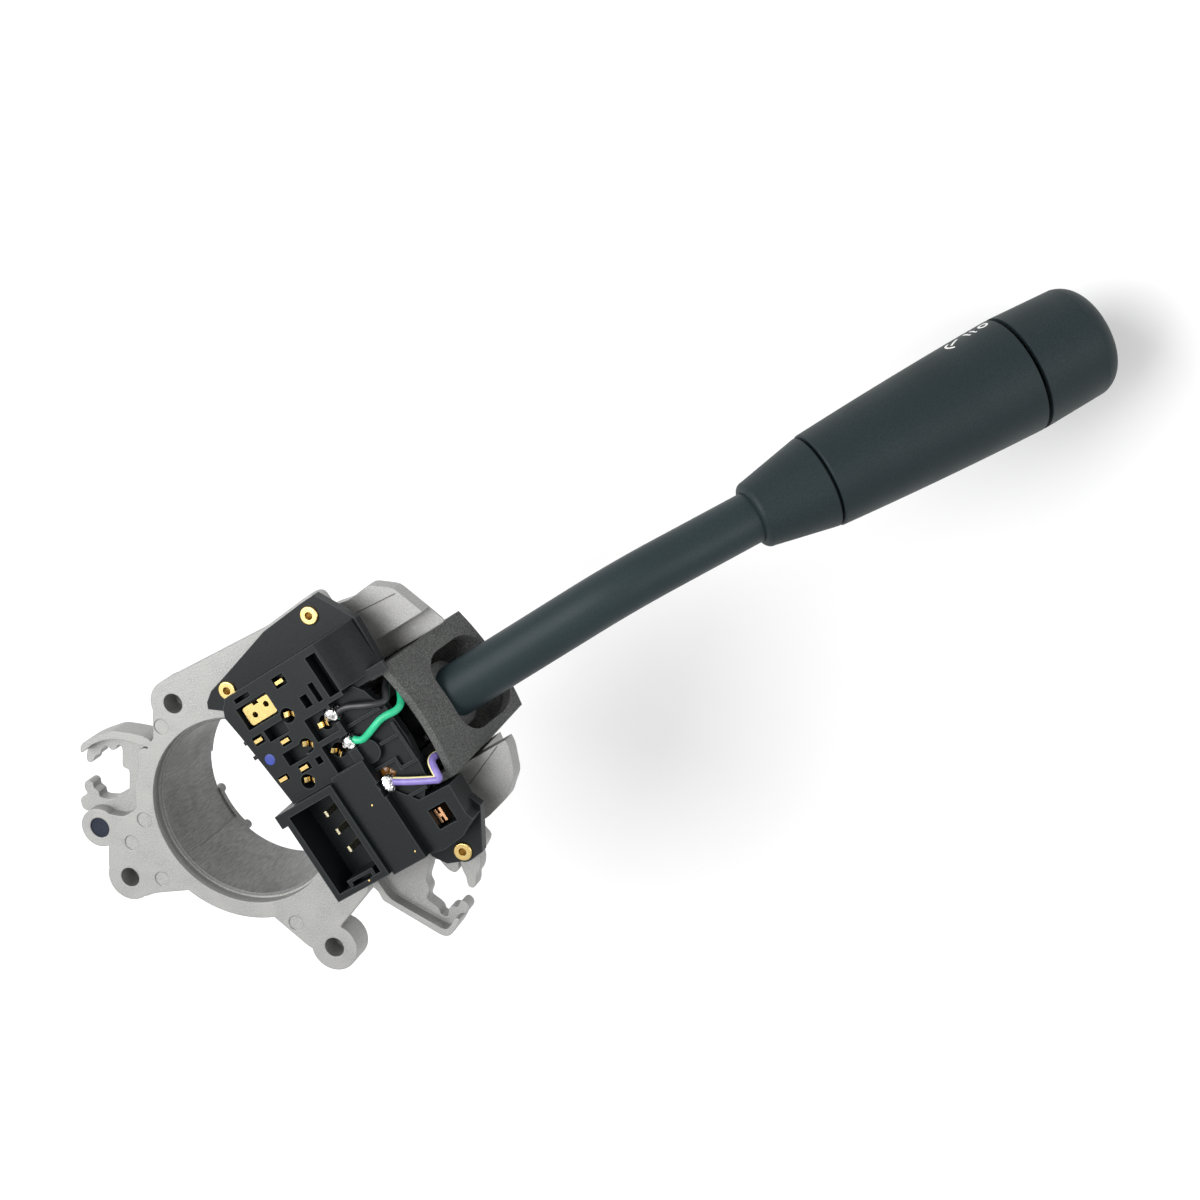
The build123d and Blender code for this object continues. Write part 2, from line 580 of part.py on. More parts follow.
# Connector socket: an open shroud with a keying ledge and a corner tab
with BuildPart() as connector_socket:
    socket_low = (SOCKET_X, SOCKET_Y, SOCKET_FOOT_Z)
    box_between(socket_low, (socket_end_x, socket_end_y - 0.1, SOCKET_TOP_Z))
    box_between(
        (SOCKET_X - 1.8, socket_end_y - 3.6, SOCKET_FOOT_Z), (SOCKET_X + 1, socket_end_y - 0.1, SOCKET_TOP_Z)
    )
    box_between(
        (SOCKET_X + SOCKET_WALL, SOCKET_Y + SOCKET_WALL, SOCKET_FOOT_Z + SOCKET_FLOOR),
        (socket_end_x - SOCKET_WALL, socket_end_y - SOCKET_WALL - 0.4, SOCKET_TOP_Z + 1),
        mode=Mode.SUBTRACT,
    )
    # Keying ledge along the low wall
    box_between(
        (SOCKET_X + 4.8, SOCKET_Y + 0.5, SOCKET_FOOT_Z + 1), (SOCKET_X + 12.8, SOCKET_Y + 3.4, SOCKET_TOP_Z - 0.8)
    )
    box_between(
        (SOCKET_X + 5.8, SOCKET_Y + 1.4, SOCKET_TOP_Z - 4), (SOCKET_X + 11.8, SOCKET_Y + 2.6, SOCKET_TOP_Z),
        mode=Mode.SUBTRACT,
    )
    pin_x = SOCKET_X + SOCKET_W / 2
    pin_y = socket_end_y - 6.2
    pin_spots = [(pin_x, pin_y - PIN_PITCH * row) for row in range(PIN_COUNT)]
    with BuildSketch(Plane.XY.offset(SOCKET_FOOT_Z)):
        with Locations(*pin_spots):
            Rectangle(PIN_T + FIT, PIN_W + FIT)
    extrude(amount=SOCKET_FLOOR, mode=Mode.SUBTRACT)
connector_socket.part.label = "connector_socket"
export_step(connector_socket.part, "parts/connector_socket.step")

# Brass pieces of the housing
with BuildPart() as eyelet_rivets:
    with BuildSketch(Plane.XY.offset(-PLATE_T)):
        with Locations(*RIVETS):
            Circle(RIVET_R)
    extrude(amount=PLATE_T + WEB_T)
    with BuildSketch(Plane.XY.offset(WEB_T)):
        with Locations(*RIVETS):
            Circle(RIVET_HEAD_R)
    extrude(amount=RIVET_HEAD_T)
    head_rim = [e for e in eyelet_rivets.edges().group_by(Axis.Z)[-1] if e.radius > RIVET_R]
    fillet(head_rim, RIVET_HEAD_T * 0.6)
    with BuildSketch(Plane.XY.offset(-PLATE_T)):
        with Locations(*RIVETS):
            Circle(RIVET_BORE)
    extrude(amount=PLATE_T + WEB_T + 1, mode=Mode.SUBTRACT)
eyelet_rivets.part.label = "eyelet_rivets"
export_step(eyelet_rivets.part, "parts/eyelet_rivets.step")

PLATE_CONTACT_Z = HOUSING_TOP - 3.4
with BuildPart() as contact_plate:
    with BuildSketch(Plane.XY.offset(PLATE_CONTACT_Z)):
        with Locations((26.6, 19.7)):
            RectangleRounded(8.4, 4.9, 0.8)
        with Locations((26.6, 22.2)):
            Rectangle(1.6, 1.6, mode=Mode.SUBTRACT)
        with Locations((24.8, 19.3), (29.0, 20.2)):
            Circle(0.75, mode=Mode.SUBTRACT)
    extrude(amount=2.2)
contact_plate.part.label = "contact_plate"
export_step(contact_plate.part, "parts/contact_plate.step")

with BuildPart() as blade_contacts:
    with BuildSketch(Plane.XY.offset(HOUSING_TOP - 2.6)):
        with Locations(*BLADES):
            Rectangle(2.4, 0.9)
    extrude(amount=3.0)
blade_contacts.part.label = "blade_contacts"
export_step(blade_contacts.part, "parts/blade_contacts.step")

with BuildPart() as spring_contacts:
    for well in WELLS:
        with BuildSketch(Plane.XY.offset(HOUSING_TOP - WELL_DEPTH)):
            with Locations(well):
                Circle(WELL_R - 0.15)
                Circle(WELL_R - 0.15 - LEAF_T, mode=Mode.SUBTRACT)
            with Locations((well[0] - WELL_R, well[1]), (well[0], well[1] + WELL_R)):
                Rectangle(2 * WELL_R, 2 * WELL_R, mode=Mode.SUBTRACT)
        extrude(amount=WELL_DEPTH - LEAF_SINK)
spring_contacts.part.label = "spring_contacts"
export_step(spring_contacts.part, "parts/spring_contacts.step")

with BuildPart() as socket_pins:
    with BuildSketch(Plane.XY.offset(SOCKET_FOOT_Z)):
        with Locations(*pin_spots):
            Rectangle(PIN_T, PIN_W)
    extrude(amount=PIN_TOP_Z - SOCKET_FOOT_Z)
    chamfer(socket_pins.edges().group_by(Axis.Z)[-1].filter_by(Axis.Y), 0.25)
socket_pins.part.label = "socket_pins"
export_step(socket_pins.part, "parts/socket_pins.step")

with BuildPart() as window_contact:
    contact_z = WEB_T
    cx = WINDOW_LOW[0] + 0.6
    cy = WINDOW_LOW[1] + WINDOW_SIZE[1] / 2
    with BuildSketch(Plane.XY.offset(contact_z)):
        with Locations((cx, cy)):
            Rectangle(0.7, 3.6)
        with Locations((cx + 1.4, cy)):
            Rectangle(0.7, 3.6)
        with Locations((cx + 0.7, cy)):
            Rectangle(1.4, 0.8)
    extrude(amount=3.6)
window_contact.part.label = "window_contact"
export_step(window_contact.part, "parts/window_contact.step")

with BuildPart() as solder_posts:
    with BuildSketch(Plane.XY.offset(cavity_top + 0.4)):
        with Locations(*POSTS):
            Circle(POST_R - 0.2 - FIT)
    extrude(amount=POST_TOP - cavity_top - 0.4)
solder_posts.part.label = "solder_posts"
export_step(solder_posts.part, "parts/solder_posts.step")

# Lever cover: slanted and bowed face, two sides and a floor, open to the top and back
COVER_TAPER = [(COVER_RIM_X + 0.1, cover_low_y), (COVER_RIM_X + 10, cover_low_y + 2.8)]
COVER_PLAN = [
    (COVER_BACK_X, cover_top_y), (90, cover_top_y), (90, cover_low_y + 8.1), *reversed(COVER_TAPER),
    (COVER_BACK_X, cover_low_y),
]
COVER_SPACE_PLAN = [
    (COVER_BACK_X - 1, cover_top_y - COVER_WALL), (90, cover_top_y - COVER_WALL),
    (90, cover_low_y + 8.1 + COVER_WALL), *[(x, y + COVER_WALL) for x, y in reversed(COVER_TAPER)],
    (COVER_BACK_X - 1, cover_low_y + COVER_WALL),
]
rim_to_foot = COVER_RIM_Z - COVER_FOOT_Z
foot_x = COVER_RIM_X + rim_to_foot * tan(radians(COVER_LEAN))
lean_up = Vector(-sin(radians(COVER_LEAN)), 0, cos(radians(COVER_LEAN)))


def bowed_plan(inset):
    """Corners of the cover's plan at its foot, with the bowed face set back by inset."""
    steps = 16
    bow_r = (COVER_HALF_W**2 + COVER_BOW**2) / (2 * COVER_BOW)
    face = []
    for step in range(steps + 1):
        across = (2 * step / steps - 1) * (COVER_HALF_W + 2)
        bulge = (bow_r**2 - across**2) ** 0.5 - bow_r + COVER_BOW
        face.append((foot_x + bulge - inset, PIVOT.Y + across))
    return [(COVER_RIM_X - 30, face[0][1]), *face, (COVER_RIM_X - 30, face[-1][1])]


cover_reach = (rim_to_foot + 4) / cos(radians(COVER_LEAN))
with BuildPart() as cover_space:
    with BuildSketch(Plane.XY.offset(COVER_FOOT_Z + COVER_WALL)):
        Polygon(*COVER_SPACE_PLAN, align=None)
    extrude(amount=rim_to_foot)
    foot_plane = Plane.XY.offset(COVER_FOOT_Z)
    with BuildSketch(foot_plane):
        Polygon(*bowed_plan(COVER_WALL / cos(radians(COVER_LEAN))), align=None)
    extrude(amount=cover_reach, dir=lean_up, mode=Mode.INTERSECT)

with BuildPart() as lever_cover:
    with BuildSketch(foot_plane):
        Polygon(*COVER_PLAN, align=None)
    extrude(amount=rim_to_foot)
    with BuildSketch(foot_plane):
        Polygon(*bowed_plan(0), align=None)
    extrude(amount=cover_reach, dir=lean_up, mode=Mode.INTERSECT)
    add(cover_space.part, mode=Mode.SUBTRACT)
    with BuildSketch(face_plane(0)):
        with Locations((0, (WINDOW_UP - WINDOW_DOWN) / 2)):
            RectangleRounded(2 * WINDOW_HALF_W, WINDOW_UP + WINDOW_DOWN, WINDOW_ROUND)
    extrude(amount=COVER_WALL + COVER_BOW + 2, dir=base_dir * -1, mode=Mode.SUBTRACT)
lever_cover.part.label = "lever_cover"
export_step(lever_cover.part, "parts/lever_cover.step")

# Detent track on the tray: an arc about the turn axis with three notches
track_r = PLUNGER_REACH + 0.3
track_x = PIVOT.X - track_r - TRACK_BACK
with BuildPart() as detent_track:
    box_between(
        (track_x, PIVOT.Y - TRACK_HALF_W, floor_top), (track_x + TRACK_T, PIVOT.Y + TRACK_HALF_W, DETENT_Z + 4)
    )
    with BuildSketch(Plane.XY.offset(floor_top + 3)):
        with Locations(turn_axis_at):
            Circle(track_r)
        for turn in (-TURN_LIMIT, 0, TURN_LIMIT):
            notch_reach = track_r - NOTCH_R + 0.5
            notch_x = PIVOT.X - notch_reach * cos(radians(turn))
            with Locations((notch_x, PIVOT.Y - notch_reach * sin(radians(turn)))):
                Circle(NOTCH_R)
    extrude(amount=30, mode=Mode.SUBTRACT)
detent_track.part.label = "detent_track"
export_step(detent_track.part, "parts/detent_track.step")

# Carrier: a yoke that turns on two trunnions and holds the tilt pin
carrier_back_x = PIVOT.X - CARRIER_BACK
carrier_inner = CARRIER_HALF_W - CARRIER_WALL
boss_back_x = carrier_back_x - 2.0
boss_front_x = PIVOT.X - HUB_R - 0.2
spring_back_x = PIVOT.X - PLUNGER_REACH + PLUNGER_L
spring_front_x = boss_front_x - 1.0
detent_plane = Plane(origin=(boss_back_x, PIVOT.Y, DETENT_Z), x_dir=(0, 1, 0), z_dir=(1, 0, 0))
tilt_plane = Plane(origin=PIVOT, x_dir=(1, 0, 0), z_dir=(0, -1, 0))
with BuildPart() as lever_carrier:
    box_between(
        (carrier_back_x, PIVOT.Y - CARRIER_HALF_W, CARRIER_FOOT_Z),
        (PIVOT.X + CARRIER_FRONT, PIVOT.Y + CARRIER_HALF_W, CARRIER_TOP_Z),
    )
    fillet(lever_carrier.edges().filter_by(Axis.Z), 2.0)
    box_between(
        (carrier_back_x + CARRIER_PLATE, PIVOT.Y - carrier_inner, CARRIER_FOOT_Z + CARRIER_PLATE),
        (PIVOT.X + 20, PIVOT.Y + carrier_inner, CARRIER_TOP_Z - CARRIER_PLATE),
        mode=Mode.SUBTRACT,
    )
    with BuildSketch(detent_plane):
        Circle(DETENT_BOSS_R)
    extrude(amount=boss_front_x - boss_back_x)
    with BuildSketch(detent_plane):
        Circle(PLUNGER_R + FIT)
    extrude(amount=spring_front_x - boss_back_x, mode=Mode.SUBTRACT)
    with BuildSketch(Plane.XY.offset(FLOOR_Z)):
        with Locations(turn_axis_at):
            Circle(TRUNNION_R + FIT)
    extrude(amount=60, mode=Mode.SUBTRACT)
    with BuildSketch(tilt_plane):
        Circle(TILT_PIN_R + FIT)
    extrude(amount=30, both=True, mode=Mode.SUBTRACT)
lever_carrier.part.label = "lever_carrier"
export_step(lever_carrier.part, "parts/lever_carrier.step")

with BuildPart() as turn_trunnions:
    with BuildSketch(Plane.XY.offset(FLOOR_Z + 0.5)):
        with Locations(turn_axis_at):
            Circle(TRUNNION_R)
    extrude(amount=CARRIER_FOOT_Z + CARRIER_PLATE - FLOOR_Z - 0.5)
    with BuildSketch(Plane.XY.offset(CARRIER_TOP_Z - CARRIER_PLATE)):
        with Locations(turn_axis_at):
            Circle(TRUNNION_R)
    extrude(amount=DECK_TOP + BOSS_HEIGHT - 1.3 - CARRIER_TOP_Z + CARRIER_PLATE)
turn_trunnions.part.label = "turn_trunnions"
export_step(turn_trunnions.part, "parts/turn_trunnions.step")

with BuildPart() as tilt_pin:
    with BuildSketch(tilt_plane):
        Circle(TILT_PIN_R)
    extrude(amount=CARRIER_HALF_W, both=True)
tilt_pin.part.label = "tilt_pin"
export_step(tilt_pin.part, "parts/tilt_pin.step")

with BuildPart() as detent_plunger:
    with BuildSketch(detent_plane.offset(PIVOT.X - PLUNGER_REACH - boss_back_x)):
        Circle(PLUNGER_R)
    extrude(amount=PLUNGER_L)
    fillet(detent_plunger.edges().sort_by(Axis.X)[0], PLUNGER_R - 0.1)
detent_plunger.part.label = "detent_plunger"
export_step(detent_plunger.part, "parts/detent_plunger.step")

with BuildPart() as detent_spring:
    with BuildSketch(detent_plane.offset(spring_back_x - boss_back_x)):
        Circle(PLUNGER_R - 0.1)
        Circle(PLUNGER_R - 0.7, mode=Mode.SUBTRACT)
    extrude(amount=spring_front_x - spring_back_x)
detent_spring.part.label = "detent_spring"
export_step(detent_spring.part, "parts/detent_spring.step")

# Return spring beside the hub: its coil round the tilt pin and one leg
spring_y = PIVOT.Y + carrier_inner - 0.2
with BuildPart() as tilt_spring:
    with BuildSketch(Plane(origin=(PIVOT.X, spring_y, PIVOT.Z), x_dir=(1, 0, 0), z_dir=(0, -1, 0))):
        Circle(TILT_PIN_R + 1.4)
        Circle(TILT_PIN_R + 0.1, mode=Mode.SUBTRACT)
    extrude(amount=HUB_SHORT - 0.4)
    leg_z = PIVOT.Z + TILT_PIN_R + 0.4
    box_between((carrier_back_x + CARRIER_PLATE, spring_y - 0.9, leg_z), (PIVOT.X, spring_y, leg_z + 0.9))
tilt_spring.part.label = "tilt_spring"
export_step(tilt_spring.part, "parts/tilt_spring.step")

# Contacts of the indicator switch: a strip on the carrier and three fixed pads
with BuildPart() as turn_contact:
    box_between(
        (carrier_back_x - CONTACT_T, PADS_Y - PAD_PITCH - 1, -2.0), (carrier_back_x, PADS_Y + PAD_PITCH + 1, 2.6)
    )
turn_contact.part.label = "turn_contact"
export_step(turn_contact.part, "parts/turn_contact.step")

with BuildPart() as fixed_contacts:
    for pad_y in (PADS_Y - PAD_PITCH, PADS_Y, PADS_Y + PAD_PITCH):
        box_between(
            (CAVITY_X, pad_y - PAD_W / 2, 0.4), (CAVITY_X + CONTACT_T, pad_y + PAD_W / 2, cavity_top - 0.2)
        )
fixed_contacts.part.label = "fixed_contacts"
export_step(fixed_contacts.part, "parts/fixed_contacts.step")

# Lever hub: a barrel on the tilt pin with a neck that takes the steel core
stalk_plane = Plane(origin=PIVOT, x_dir=(0, 1, 0), z_dir=base_dir)
core_start = TILT_PIN_R + 1.5
hub_y = PIVOT.Y + carrier_inner - HUB_SHORT
hub_w = 2 * carrier_inner - HUB_SHORT - SEAT
with BuildPart() as lever_hub:
    with BuildSketch(stalk_plane.offset(HUB_R - 1)):
        Circle(HUB_R - 0.1)
    extrude(amount=30)
    with Locations(shutter_at):
        Sphere(shutter_r - SHUTTER_T - FIT, mode=Mode.INTERSECT)
    with BuildSketch(Plane(origin=(PIVOT.X, hub_y, PIVOT.Z), x_dir=(1, 0, 0), z_dir=(0, -1, 0))):
        Circle(HUB_R)
    extrude(amount=hub_w)
    with BuildSketch(stalk_plane.offset(core_start)):
        Circle(CORE_R + FIT)
    extrude(amount=30, mode=Mode.SUBTRACT)
    with BuildSketch(tilt_plane):
        Circle(TILT_PIN_R + RUN)
    extrude(amount=30, both=True, mode=Mode.SUBTRACT)
lever_hub.part.label = "lever_hub"
export_step(lever_hub.part, "parts/lever_hub.step")

# Shutter: part of a ball about the pivot, which fills the window behind the face
with BuildPart() as stalk_shutter:
    with BuildSketch(face_plane(0)):
        with Locations((0, (SHUTTER_UP - SHUTTER_DOWN) / 2)):
            RectangleRounded(2 * SHUTTER_HALF_W, SHUTTER_UP + SHUTTER_DOWN, SHUTTER_HALF_W - 1.6)
    extrude(amount=-SHUTTER_REACH)
    with Locations(shutter_at):
        Sphere(shutter_r, mode=Mode.INTERSECT)
    with Locations(shutter_at):
        Sphere(shutter_r - SHUTTER_T, mode=Mode.SUBTRACT)
    with BuildSketch(stalk_plane):
        Circle(CORE_R + FIT)
    extrude(amount=40, mode=Mode.SUBTRACT)
stalk_shutter.part.label = "stalk_shutter"
export_step(stalk_shutter.part, "parts/stalk_shutter.step")

# Steel core and its moulded skin follow one bent line
skin_end = 8.0
with BuildPart() as lever_core:
    with BuildLine() as core_line:
        FilletPolyline(
            PIVOT + base_dir * core_start, bend_at, handle_at + handle_dir * core_end, radius=BEND_R
        )
    with BuildSketch(stalk_plane.offset(core_start)):
        Circle(CORE_R)
        Circle(CORE_R - CORE_WALL, mode=Mode.SUBTRACT)
    sweep(path=core_line.wires()[0])
lever_core.part.label = "lever_core"
export_step(lever_core.part, "parts/lever_core.step")

with BuildPart() as stalk_tube:
    with BuildLine() as skin_line:
        FilletPolyline(
            PIVOT + base_dir * core_start, bend_at, handle_at + handle_dir * skin_end, radius=BEND_R
        )
    with BuildSketch(stalk_plane.offset(core_start)):
        Circle(STALK_R)
        Circle(CORE_R + FIT, mode=Mode.SUBTRACT)
    sweep(path=skin_line.wires()[0])
    with Locations(shutter_at):
        Sphere(shutter_r, mode=Mode.SUBTRACT)
stalk_tube.part.label = "stalk_tube"
export_step(stalk_tube.part, "parts/stalk_tube.step")

# Handle sleeve, turned about the handle's axis
skin_bore = STALK_R + FIT
spigot_r = GRIP_SMALL_R - GRIP_WALL - FIT
with BuildPart() as handle_sleeve:
    with BuildSketch(meridian):
        with BuildLine():
            Line((0, skin_bore), (0, SLEEVE_SMALL_R - SLEEVE_NOSE))
            RadiusArc((0, SLEEVE_SMALL_R - SLEEVE_NOSE), (SLEEVE_NOSE, SLEEVE_SMALL_R), SLEEVE_NOSE)
            Polyline(
                (SLEEVE_NOSE, SLEEVE_SMALL_R), (SLEEVE_L, SLEEVE_BIG_R), (SLEEVE_L, spigot_r),
                (SLEEVE_L + SPIGOT_L, spigot_r), (SLEEVE_L + SPIGOT_L, spigot_r - 1.2),
                (skin_end + 1.5, skin_bore + 0.8), (skin_end + 1.5, skin_bore), (0, skin_bore),
            )
        make_face()
    revolve(axis=handle_axis)
handle_sleeve.part.label = "handle_sleeve"
export_step(handle_sleeve.part, "parts/handle_sleeve.step")


def grip_inside(along):
    """Inner radius of the grip at a distance along the handle."""
    share = (along - grip_start) / GRIP_L
    return GRIP_SMALL_R - GRIP_WALL + share * (GRIP_BIG_R - GRIP_SMALL_R)


middle_r = (GRIP_SMALL_R + GRIP_BIG_R) / 2 + GRIP_BULGE
with BuildPart() as handle_grip:
    with BuildSketch(meridian):
        with BuildLine():
            ThreePointArc(
                (grip_start, GRIP_SMALL_R), ((grip_start + grip_end) / 2, middle_r), (grip_end, GRIP_BIG_R)
            )
            Polyline(
                (grip_end, GRIP_BIG_R), (grip_end, grip_inside(grip_end)),
                (grip_start, grip_inside(grip_start)), (grip_start, GRIP_SMALL_R),
            )
        make_face()
    revolve(axis=handle_axis)
    outer_rims = handle_grip.edges().filter_by(GeomType.CIRCLE).sort_by(SortBy.RADIUS)
    chamfer([outer_rims[-1], outer_rims[1]], 0.35)
handle_grip.part.label = "handle_grip"
export_step(handle_grip.part, "parts/handle_grip.step")

# Switch body fixed on the core inside the grip
chamber_end = core_end + 8.0
with BuildPart() as switch_body:
    with BuildSketch(handle_plane(switch_start)):
        Circle(SWITCH_R)
    extrude(amount=SWITCH_L)
    with BuildSketch(handle_plane(switch_start - 6.0)):
        Circle(CORE_R + 2.0)
    extrude(amount=6.0)
    for ring_at in (switch_start + 3.0, switch_end - 2.5):
        with BuildSketch(handle_plane(ring_at)):
            Circle(grip_inside(ring_at) - FIT)
        extrude(amount=2.5)
    with BuildSketch(handle_plane(switch_start - 7.0)):
        Circle(CORE_R + FIT)
    extrude(amount=core_end - switch_start + 7.0, mode=Mode.SUBTRACT)
    with BuildSketch(handle_plane(core_end - 1)):
        Circle(SHAFT_R + 0.4)
    extrude(amount=chamber_end - core_end + 1, mode=Mode.SUBTRACT)
    with BuildSketch(handle_plane(chamber_end - 1)):
        Circle(SHAFT_R + RUN)
    extrude(amount=switch_end - chamber_end + 2, mode=Mode.SUBTRACT)
switch_body.part.label = "switch_body"
export_step(switch_body.part, "parts/switch_body.step")

washer_contact_at = core_end + 3.0
with BuildPart() as washer_contact:
    with BuildSketch(handle_plane(washer_contact_at)):
        Circle(SHAFT_R + 0.4 - FIT)
    extrude(amount=0.8)
washer_contact.part.label = "washer_contact"
export_step(washer_contact.part, "parts/washer_contact.step")

with BuildPart() as wiper_contacts:
    with BuildSketch(handle_plane(switch_end)):
        Circle(DISC_R - 0.6)
        Circle(SHAFT_R + 1.5, mode=Mode.SUBTRACT)
        for turn in (0, 60, 120):
            with Locations(Rotation(0, 0, turn)):
                Rectangle(2 * DISC_R, 1.2, mode=Mode.SUBTRACT)
    extrude(amount=0.4)
wiper_contacts.part.label = "wiper_contacts"
export_step(wiper_contacts.part, "parts/wiper_contacts.step")

# Rotor: shaft, contact disc and the key that drives the end cap
disc_at = switch_end + 0.4 + GAP
shaft_end = cap_end - CAP_WALL - CAP_TRAVEL - 0.7
with BuildPart() as wiper_rotor:
    with BuildSketch(handle_plane(chamber_end + 0.5)):
        Circle(SHAFT_R)
    extrude(amount=shaft_end - chamber_end - 0.5)
    with BuildSketch(handle_plane(disc_at)):
        Circle(DISC_R)
    extrude(amount=DISC_T)
    with BuildSketch(handle_plane(cap_start + 5.0)):
        with Locations((0, SHAFT_R)):
            Rectangle(KEY_W, 2.4)
    extrude(amount=shaft_end - cap_start - 5.0)
    with BuildSketch(handle_plane(0)):
        Circle(ROD_R + 0.1)
    extrude(amount=200, mode=Mode.SUBTRACT)
wiper_rotor.part.label = "wiper_rotor"
export_step(wiper_rotor.part, "parts/wiper_rotor.step")

# End cap: a domed shell with a keyed hub that slides on the rotor
cap_hub_at = cap_start + 2.0
cap_hub_r = SHAFT_R + 2.6
cap_inside = cap_end - CAP_WALL
dome_edge_r = CAP_END_R - CAP_ROUND
dome_r = (dome_edge_r**2 + CAP_DOME**2) / (2 * CAP_DOME)
dome_dip = dome_r - (dome_r**2 - dome_edge_r**2 / 4) ** 0.5
with BuildPart() as end_cap:
    with BuildSketch(meridian):
        with BuildLine():
            Line((cap_start, GRIP_BIG_R), (cap_end - CAP_ROUND, CAP_END_R + 0.4))
            ThreePointArc(
                (cap_end - CAP_ROUND, CAP_END_R + 0.4), (cap_end - 2.2, CAP_END_R - 1.8),
                (cap_end - CAP_DOME, dome_edge_r),
            )
            ThreePointArc(
                (cap_end - CAP_DOME, dome_edge_r), (cap_end - dome_dip, dome_edge_r / 2), (cap_end, 0)
            )
            Polyline(
                (cap_end, 0), (cap_inside, 0), (cap_inside, CAP_END_R - CAP_ROUND - 0.5),
                (cap_inside - 4.0, CAP_END_R - CAP_WALL), (cap_start, GRIP_BIG_R - CAP_WALL),
                (cap_start, GRIP_BIG_R),
            )
        make_face()
    revolve(axis=handle_axis)
    with BuildSketch(handle_plane(cap_hub_at)):
        Circle(cap_hub_r)
    extrude(amount=cap_inside - cap_hub_at + 0.5)
    with BuildSketch(handle_plane(cap_hub_at - 1)):
        Circle(SHAFT_R + RUN)
        with Locations((0, SHAFT_R)):
            Rectangle(KEY_W + 0.3, 2.8)
    extrude(amount=cap_inside - cap_hub_at + 1, mode=Mode.SUBTRACT)
end_cap.part.label = "end_cap"
export_step(end_cap.part, "parts/end_cap.step")

rod_start = washer_contact_at + 0.8 + CAP_TRAVEL + 0.3
with BuildPart() as push_rod:
    with BuildSketch(handle_plane(rod_start)):
        Circle(ROD_R)
    extrude(amount=cap_inside - rod_start)
push_rod.part.label = "push_rod"
export_step(push_rod.part, "parts/push_rod.step")

with BuildPart() as washer_spring:
    with BuildSketch(handle_plane(disc_at + DISC_T)):
        Circle(SHAFT_R + 1.3)
        Circle(SHAFT_R + 0.3, mode=Mode.SUBTRACT)
    extrude(amount=cap_hub_at - CAP_TRAVEL - 0.3 - disc_at - DISC_T)
washer_spring.part.label = "washer_spring"
export_step(washer_spring.part, "parts/washer_spring.step")

# Wires: from the solder joints over the deck and down behind the cover's sides
solder_z = POST_TOP + 1.0
wire_cut = 1.1
cover_in_top = cover_top_y - COVER_WALL
cover_in_low = cover_low_y + COVER_WALL
terminal_top = -14.0
with BuildPart() as solder_joints:
    with Locations(*[(x, y, solder_z) for x, y in POSTS]):
        Sphere(SOLDER_R)
    split(bisect_by=Plane.XY.offset(POST_TOP), keep=Keep.TOP)
    for x, y in POSTS:
        box_between((x + wire_cut, y - 2, POST_TOP - 1), (x + 3, y + 2, solder_z + 2), mode=Mode.SUBTRACT)
solder_joints.part.label = "solder_joints"
export_step(solder_joints.part, "parts/solder_joints.step")

with BuildPart() as wire_terminals:
    box_between((54.8, cover_in_top - 1.9, terminal_top - 4), (61.4, cover_in_top, terminal_top))
    box_between((56.4, cover_in_low, terminal_top - 4), (59.4, cover_in_low + 1.9, terminal_top))
wire_terminals.part.label = "wire_terminals"
export_step(wire_terminals.part, "parts/wire_terminals.step")

GREY_ROUTE = [
    (44.0, 9.6, 8.4), (46.8, 9.6, 8.4), (51.0, 8.4, 9.0), (55.4, 7.6, 7.6), (55.9, 9.4, 3.6),
    (56.0, 10.4, -1.0), (56.2, 10.5, -5.6), (56.3, 10.5, -9.8), (56.3, 10.5, -14.0),
]
GREEN_ROUTE = [
    (43.7, 2.2, 8.4), (46.3, 2.2, 8.4), (50.2, 2.0, 9.8), (54.0, 3.2, 9.4), (56.9, 3.3, 7.2),
    (57.6, 5.2, 3.4), (57.9, 8.2, 0.4), (58.8, 10.0, -4.0), (59.4, 10.5, -8.8), (59.5, 10.5, -14.0),
]
VIOLET_ROUTE = [
    (46.5, -11.4, 8.4), (48.8, -11.4, 8.4), (52.2, -13.8, 8.8), (56.0, -16.0, 7.9), (57.4, -13.6, 6.4),
    (57.9, -11.4, 3.8), (57.6, -12.8, 0.4), (57.7, -14.5, -3.6), (57.9, -14.95, -8.6), (57.9, -14.9, -14.0),
]


def wire_line(points):
    """Arc radii and start plane of a wire's route."""
    start = Vector(*points[0])
    along = (Vector(*points[1]) - start).normalized()
    return wire_radii(points), Plane(origin=start, z_dir=along)


grey_radii, grey_start = wire_line(GREY_ROUTE)
with BuildPart() as grey_wire:
    with BuildLine() as grey_path:
        FilletPolyline(*GREY_ROUTE, radius=grey_radii)
    with BuildSketch(grey_start):
        Circle(WIRE_R)
    sweep(path=grey_path.wires()[0])
grey_wire.part.label = "grey_wire"
export_step(grey_wire.part, "parts/grey_wire.step")

green_radii, green_start = wire_line(GREEN_ROUTE)
with BuildPart() as green_wire:
    with BuildLine() as green_path:
        FilletPolyline(*GREEN_ROUTE, radius=green_radii)
    with BuildSketch(green_start):
        Circle(WIRE_R)
    sweep(path=green_path.wires()[0])
green_wire.part.label = "green_wire"
export_step(green_wire.part, "parts/green_wire.step")

violet_radii, violet_start = wire_line(VIOLET_ROUTE)
with BuildPart() as violet_wire:
    with BuildLine() as violet_path:
        FilletPolyline(*VIOLET_ROUTE, radius=violet_radii)
    with BuildSketch(violet_start):
        Circle(WIRE_R)
    sweep(path=violet_path.wires()[0])
violet_wire.part.label = "violet_wire"
export_step(violet_wire.part, "parts/violet_wire.step")

